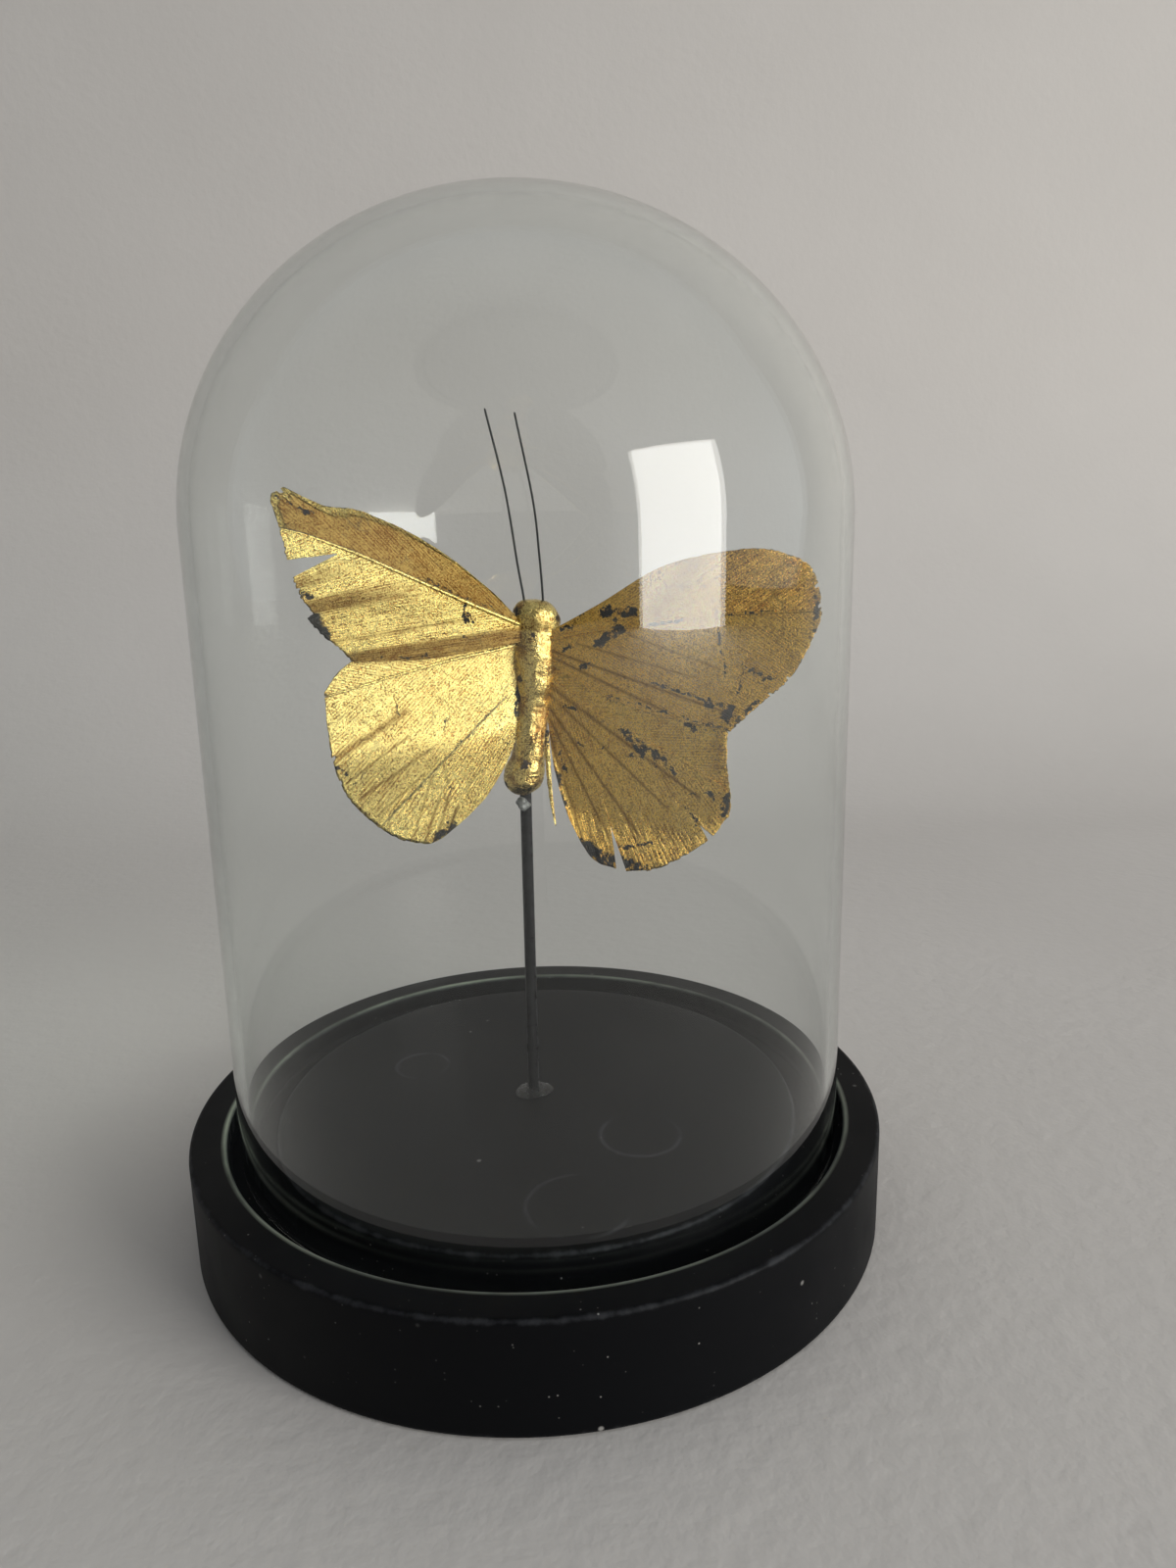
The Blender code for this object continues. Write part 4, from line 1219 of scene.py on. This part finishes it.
RIGHT_HIND_CREASES = (
    (8.9, -12.0, 30.1, -42.6, 0.45, 0.20), (9.3, -9.5, 50.8, -26.7, 0.45, 0.22),
    (8.9, -17.0, 21.0, -44.0, 0.45, 0.18), (14.0, -14.0, 34.0, -39.5, 0.50, 0.18),
    (22.0, -11.0, 49.5, -19.0, 0.45, 0.14), (20.0, -16.0, 44.2, -35.0, 0.45, 0.16),
)
RIGHT_HIND_STREAKS = (
    (5.0, -9.0, 44.0, -29.0, 0.45, 0.9), (5.0, -11.0, 37.0, -33.0, 0.35, 0.8),
    (5.0, -14.0, 31.0, -41.0, 0.40, 0.9), (5.5, -17.0, 24.0, -44.0, 0.35, 0.8),
    (6.0, -21.0, 17.0, -46.0, 0.45, 0.8), (7.0, -26.0, 13.5, -48.0, 0.35, 0.7),
    (10.0, -50.5, 24.0, -49.5, 0.5, 1.0), (24.0, -49.5, 33.0, -46.5, 0.4, 0.8),
)
RIGHT_HIND_TEARS = (
    (23.8, -16.3, 26.4, -18.2, 0.62), (26.0, -18.0, 29.4, -20.6, 0.95), (29.0, -20.2, 33.6, -20.4, 0.36),
    (33.2, -20.6, 37.8, -24.6, 0.55), (32.2, -20.4, 32.9, -23.4, 0.50), (29.4, -20.5, 29.3, -23.0, 0.42),
    (24.0, -22.0, 29.3, -22.4, 0.34), (39.3, -13.2, 41.0, -13.6, 0.60), (19.4, -9.8, 48.4, -13.8, 0.17),
    (7.6, -28.5, 11.6, -38.6, 0.95), (8.6, -24.4, 10.4, -28.0, 0.55),
    (16.4, -45.6, 23.4, -48.8, 1.50), (24.6, -47.4, 31.5, -48.8, 1.60),
    (26.4, -44.4, 33.6, -41.8, 0.42), (23.8, -44.6, 26.4, -44.4, 0.30), (46.2, -27.2, 47.2, -28.8, 0.55),
    (50.6, -28.0, 50.0, -31.8, 0.95), (42.0, -28.2, 50.6, -26.9, 0.22), (12.0, -20.0, 14.0, -21.6, 0.30),
    (18.0, -22.0, 21.0, -21.0, 0.18), (44.2, -35.0, 41.0, -31.6, 0.30), (9.0, -13.0, 12.0, -13.5, 0.45),
)


def right_hindwing_lift(vane):
    """A shallow fan of creases; the hem buckles, and the inner margin curls forward."""
    folds = crease(vane, RIGHT_HIND_CREASES)
    hem = np.clip((-vane["rise"] - 38.0) / 8.0, 0, 1)
    buckles = 0.30 * lattice_noise(vane["barb"] / 2.4, vane["reach"] / 9.0, 81) * hem
    buckles = buckles + 0.14 * lattice_noise(vane["barb"] / 0.9, vane["reach"] / 4.0, 82) * hem
    inner = np.clip(1.0 - (vane["span"] - (5.6 + np.maximum(-vane["rise"] - 22, 0) * 0.40)) / 2.0, 0, 1)
    curl = 0.7 * inner**2 * np.clip((-vane["rise"] - 20) / 8, 0, 1)
    return BACK_LAYER - 0.1 - 0.0005 * vane["above"]**2 + folds + buckles + curl


def right_hindwing_finish(vane):
    """Ruffled at the hem and the margin, and dull and darker in streaks down the fan."""
    hem = np.clip((-vane["rise"] - 36.0) / 8.0, 0, 1)
    vane["ruffle"] = np.maximum(hem, np.clip(1 - vane["margin"] / 4, 0, 0.6))
    vane["dull_and_painted_shade"] = streaks(vane, RIGHT_HIND_STREAKS)


# painted shade: the right hindwing's leaf uses the warmer, browner copy of the gold
right_hind_leaf = gilded_feather("gilded_right_hindwing", RIGHT_HIND_TEARS, (0.99, 0.66, 0.17, 1.0),
                                 RIGHT_SHADED_LEAF_DEEP, 0.55, 0.45)
right_hindwing = gilded_wing("right_hindwing_feather", RIGHT_HINDWING, RIGHT_HIND_QUILL, RIGHT_HIND_VANES,
                             right_hindwing_lift, right_hindwing_finish, (57, 0.10, 0.03), right_hind_leaf,
                             BACK_LAYER - 0.15, RIGHT_TURN, -1)
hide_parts("right_hindwing")


# ---------------------------------------------------------------------------------------
# Tail strip: a sliver of gilded feather torn from the right hindwing's inner margin.
# It hangs from the root beside the abdomen, curved, and ends in a point.

STRIP_LINE = ((5.6, -19.0), (6.0, -23.0), (7.2, -30.5), (8.6, -36.5), (10.2, -41.3))
STRIP_HALF_WIDTH = 0.8
STRIP_STEPS, STRIP_COLUMNS = 90, 9
strip_share = np.linspace(0, 1, STRIP_STEPS)[:, None]
strip_across = np.linspace(-1, 1, STRIP_COLUMNS)[None, :]
strip_flat = 0 * strip_share * strip_across
strip_path = smooth_path(STRIP_LINE, STRIP_STEPS)
strip_run = np.gradient(strip_path, axis=0)
strip_run /= np.linalg.norm(strip_run, axis=1, keepdims=True)
strip_width = STRIP_HALF_WIDTH * (1 - strip_share) ** 0.45 * (0.55 + 0.45 * np.minimum(strip_share * 5, 1))
strip_width = strip_width * (1 + 0.14 * lattice_noise(strip_share * 30, 0 * strip_share, 91))
strip_vane = {
    "span": strip_path[:, :1] - strip_across * strip_width * strip_run[:, 1:],
    "rise": strip_path[:, 1:] + strip_across * strip_width * strip_run[:, :1],
    "reach": 24 * strip_share + strip_flat,
    "margin": 5 + strip_flat,
    "barb": strip_across + 0.5 + strip_flat,
}
strip_lift = (FRONT_LAYER + 0.35 + 0.9 * strip_share**2 - 0.30 * strip_across**2
              + 0.10 * lattice_noise(strip_share * 26 + 3, strip_across + 5, 92))
strip_leaf = gilded_feather("gilded_strip", ((5.6, -19.4, 6.1, -22.6, 0.7),), LEAF_LIGHT,
                            LEAF_DEEP, 0.5, 0.2)
strip_quill_lift = strip_lift[:-2, STRIP_COLUMNS // 2] - 0.3
tail_strip = feather("tail_strip_feather", [strip_vane], [strip_lift], strip_path[:-2], strip_quill_lift,
                     RIGHT_TURN, -1, (strip_leaf, FEATHER_BACK))
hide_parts("tail_strip")


# ---------------------------------------------------------------------------------------
# Antennae: two thin wires, painted dark grey, pushed into the head.
# They rise in slightly bowed lines that lean to the left and end blunt.

WIRE_RADIUS = 0.28
WIRE_STEPS, WIRE_SIDES = 90, 14
LEFT_ANTENNA = ((1.9, 45.6), (1.8, 47.6), (0.7, 54.8), (-1.6, 71.5), (-5.4, 89.0))
RIGHT_ANTENNA = ((6.2, 45.4), (6.3, 47.4), (5.8, 56.5), (4.7, 69.0), (1.2, 88.1))
wire_paint = black_paint("dark_wire_paint", (0.030, 0.031, 0.031, 1.0), 0.42)
for node, wire_line in (("left_antenna", LEFT_ANTENNA), ("right_antenna", RIGHT_ANTENNA)):
    flat_line = smooth_path(wire_line, WIRE_STEPS)
    flat_line = np.concatenate([flat_line[:1] - (0, 0.02), flat_line, flat_line[-1:] + (0, 0.02)])
    wire_path = np.array(TAIL) + MM * np.stack([flat_line[:, 0], 0 * flat_line[:, 0], flat_line[:, 1]], -1)
    wire_radius = MM * WIRE_RADIUS * np.linspace(1.0, 0.86, len(wire_path))
    wire_radius[[0, -1]] = 0.0
    wire_radius[[1, -2]] *= 0.8
    wire = tube(node + "_wire", wire_path, wire_radius, WIRE_SIDES, wire_paint)
    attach(wire, "root")
    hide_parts(node)


# ---------------------------------------------------------------------------------------
# Dome: a bell of clear blown glass, 2.5 mm thick, lowered over the butterfly into the groove.
# Its wall is straight, its crown slightly flattened, and its lip is fire-polished round.

DOME_LOW, DOME_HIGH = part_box("glass_dome")
DOME_RADIUS = (DOME_HIGH.x - DOME_LOW.x) / 2
DOME_CENTRE = ((DOME_HIGH.x + DOME_LOW.x) / 2, (DOME_HIGH.y + DOME_LOW.y) / 2)
DOME_WALL = 2.5 * MM
DOME_CROWN = 69.5 * MM
DOME_STEPS = 256
GLASS_TINT = (0.58, 0.74, 0.66, 1.0)
GLASS_DENSITY = 34.0


def dome_profile():
    """Outer crown (r sin a, spring + rise cos a), wall, round lip, inner wall, inner crown."""
    angle = np.radians(np.linspace(0, 90, 72))
    spring = DOME_HIGH.z - DOME_CROWN
    inner_radius, inner_rise = DOME_RADIUS - DOME_WALL, DOME_CROWN - DOME_WALL
    outer = np.stack([DOME_RADIUS * np.sin(angle), spring + DOME_CROWN * np.cos(angle)], -1)
    inner = np.stack([inner_radius * np.sin(angle), spring + inner_rise * np.cos(angle)], -1)
    lip_centre = (DOME_RADIUS - DOME_WALL / 2, DOME_LOW.z + DOME_WALL / 2)
    lip = arc(lip_centre, DOME_WALL / 2, 0, -180, 16)
    wall = spread([(DOME_RADIUS, spring), tuple(lip[0])], 6 * MM)[1:-1]
    back = spread([tuple(lip[-1]), (inner_radius, spring)], 6 * MM)[1:-1]
    profile = np.concatenate([outer, wall, lip, back, inner[::-1]])
    profile[[0, -1], 0] = 0.0
    return profile


glass, glass_tree, glass_shader = new_material("clear_blown_glass")
feed(glass_tree, glass_shader, Base_Color=(1.0, 1.0, 1.0, 1.0), Roughness=0.0, IOR=1.45,
     Transmission_Weight=1.0)
through_light(glass, glass_tree, glass_shader, (0.93, 0.945, 0.935, 1.0))
depth = put(glass_tree, "VolumeAbsorption", {"Color": GLASS_TINT, "Density": GLASS_DENSITY})
glass_tree.links.new(depth.outputs[0], glass_tree.nodes["Material Output"].inputs["Volume"])
dome = turned("dome_blown_glass", dome_profile(), DOME_STEPS, glass, centre=DOME_CENTRE)
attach(dome, "root")
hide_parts("glass_dome")


# ---------------------------------------------------------------------------------------
# Studio: a pale floor that curves up into a backdrop, a soft world that is dimmer behind the
# viewer, overhead and at the front left, and one large softbox at the right.

SWEEP_FRONT, SWEEP_BACK, SWEEP_WIDE, SWEEP_HIGH, SWEEP_CURVE = -1.6, 0.62, 2.4, 1.9, 0.30
SWEEP_DROP = 0.0002  # keeps the paper just under the base
WORLD_LIGHT = 0.72
SOFTBOX_AZIMUTH = math.radians(51)  # to the right of the viewer's side
SOFTBOX_DISTANCE, SOFTBOX_HEIGHT = 1.5, 0.32
SOFTBOX_SIZE = (0.80, 0.95)
SOFTBOX_POWER = 17
SOFTBOX_AIM = Vector((0.0, 0.0, 0.13))
sweep_line = np.concatenate([
    [(SWEEP_FRONT, 0.0), (SWEEP_BACK - SWEEP_CURVE, 0.0)],
    arc((SWEEP_BACK - SWEEP_CURVE, SWEEP_CURVE), SWEEP_CURVE, -90, 0, 24),
    [(SWEEP_BACK, SWEEP_HIGH)],
])
sweep_across = np.linspace(-SWEEP_WIDE, SWEEP_WIDE, 3)[:, None]
sweep_points = np.stack([sweep_across + 0 * sweep_line[:, 0], sweep_line[:, 0] + 0 * sweep_across,
                         sweep_line[:, 1] - SWEEP_DROP + 0 * sweep_across], -1)
paper, paper_tree, paper_shader = new_material("pale_studio_paper")
paper_place = object_place(paper_tree)
paper_cloud = noise(paper_tree, paper_place, 6.0, 3.0)
feed(paper_tree, paper_shader,
     Base_Color=tint(paper_tree, paper_cloud, (0.70, 0.672, 0.642, 1.0), (0.78, 0.752, 0.722, 1.0)),
     Roughness=0.85,
     Normal=bump(paper_tree, noise(paper_tree, paper_place, 160.0, 3.0), 0.6 * MM, 0.5))
sweep_mesh = bpy.data.meshes.new("studio_sweep")
sweep_mesh.from_pydata(sweep_points.reshape(-1, 3), [], grid_faces(3, len(sweep_line)).tolist())
sweep_mesh.shade_smooth()
sweep_mesh.materials.append(paper)
sweep = bpy.data.objects.new("studio_sweep", sweep_mesh)
bpy.context.scene.collection.objects.link(sweep)

world = bpy.data.worlds.new("soft_world")
bpy.context.scene.world = world
world.use_nodes = True
sky = world.node_tree
facing = put(sky, "SeparateXYZ", {0: put(sky, "TexCoord").outputs["Generated"]}).outputs
dim_behind_camera = ramp(sky, facing["Y"], -0.97, -0.70, 0.13, 1.0)
dim_overhead = ramp(sky, facing["Z"], 0.10, 0.75, 1.0, 0.55)
front_left = calc(sky, "MULTIPLY", calc(sky, "ADD", facing["X"], facing["Y"]), -0.707)
dim_left = ramp(sky, front_left, -0.1, 0.9, 1.0, 0.40)
around = calc(sky, "MULTIPLY", dim_behind_camera, dim_left)
sky.nodes["Background"].inputs["Color"].default_value = (0.93, 0.965, 1.0, 1.0)
sky.links.new(calc(sky, "MULTIPLY", calc(sky, "MULTIPLY", around, dim_overhead), WORLD_LIGHT),
              sky.nodes["Background"].inputs["Strength"])

softbox = bpy.data.lights.new("window_softbox", "AREA")
softbox.shape = "RECTANGLE"
softbox.size, softbox.size_y = SOFTBOX_SIZE
softbox.energy = SOFTBOX_POWER
softbox.color = (1.0, 0.975, 0.93)
softbox_holder = bpy.data.objects.new("window_softbox", softbox)
softbox_holder.location = (SOFTBOX_DISTANCE * math.sin(SOFTBOX_AZIMUTH),
                           -SOFTBOX_DISTANCE * math.cos(SOFTBOX_AZIMUTH), SOFTBOX_HEIGHT)
softbox_facing = softbox_holder.location - SOFTBOX_AIM
softbox_holder.rotation_euler = softbox_facing.to_track_quat("Z", "Y").to_euler()
bpy.context.scene.collection.objects.link(softbox_holder)

CAMERA_PLACE = Vector((0.0, -0.26405, 0.170))
CAMERA_YAW, CAMERA_PITCH, CAMERA_ROLL = 0.0552, 0.2351, -0.0219  # radians: right, down, rolled
CAMERA_LENS, CAMERA_SENSOR = 25.93, 36.0  # mm


def aim(yaw, pitch, roll):
    """The camera's right, up and back axes from its yaw, pitch and roll, as a matrix."""
    ahead = Vector((math.sin(yaw) * math.cos(pitch), math.cos(yaw) * math.cos(pitch), -math.sin(pitch)))
    right = Vector((math.cos(yaw), -math.sin(yaw), 0.0))
    over = right.cross(ahead)
    rolled_right = right * math.cos(roll) + over * math.sin(roll)
    rolled_over = over * math.cos(roll) - right * math.sin(roll)
    return Matrix((rolled_right, rolled_over, -ahead)).transposed().to_4x4()


lens = bpy.data.cameras.new("camera")
lens.lens = CAMERA_LENS
lens.sensor_width = CAMERA_SENSOR
lens.clip_start = MM
camera = bpy.data.objects.new("camera", lens)
camera.matrix_world = Matrix.Translation(CAMERA_PLACE) @ aim(CAMERA_YAW, CAMERA_PITCH, CAMERA_ROLL)
bpy.context.scene.collection.objects.link(camera)
bpy.context.scene.camera = camera
bpy.context.scene.view_settings.view_transform = "Standard"


def corners(bounds):
    """A box's two corners as plain lists of numbers."""
    return [[float(part) for part in corner] for corner in bounds]
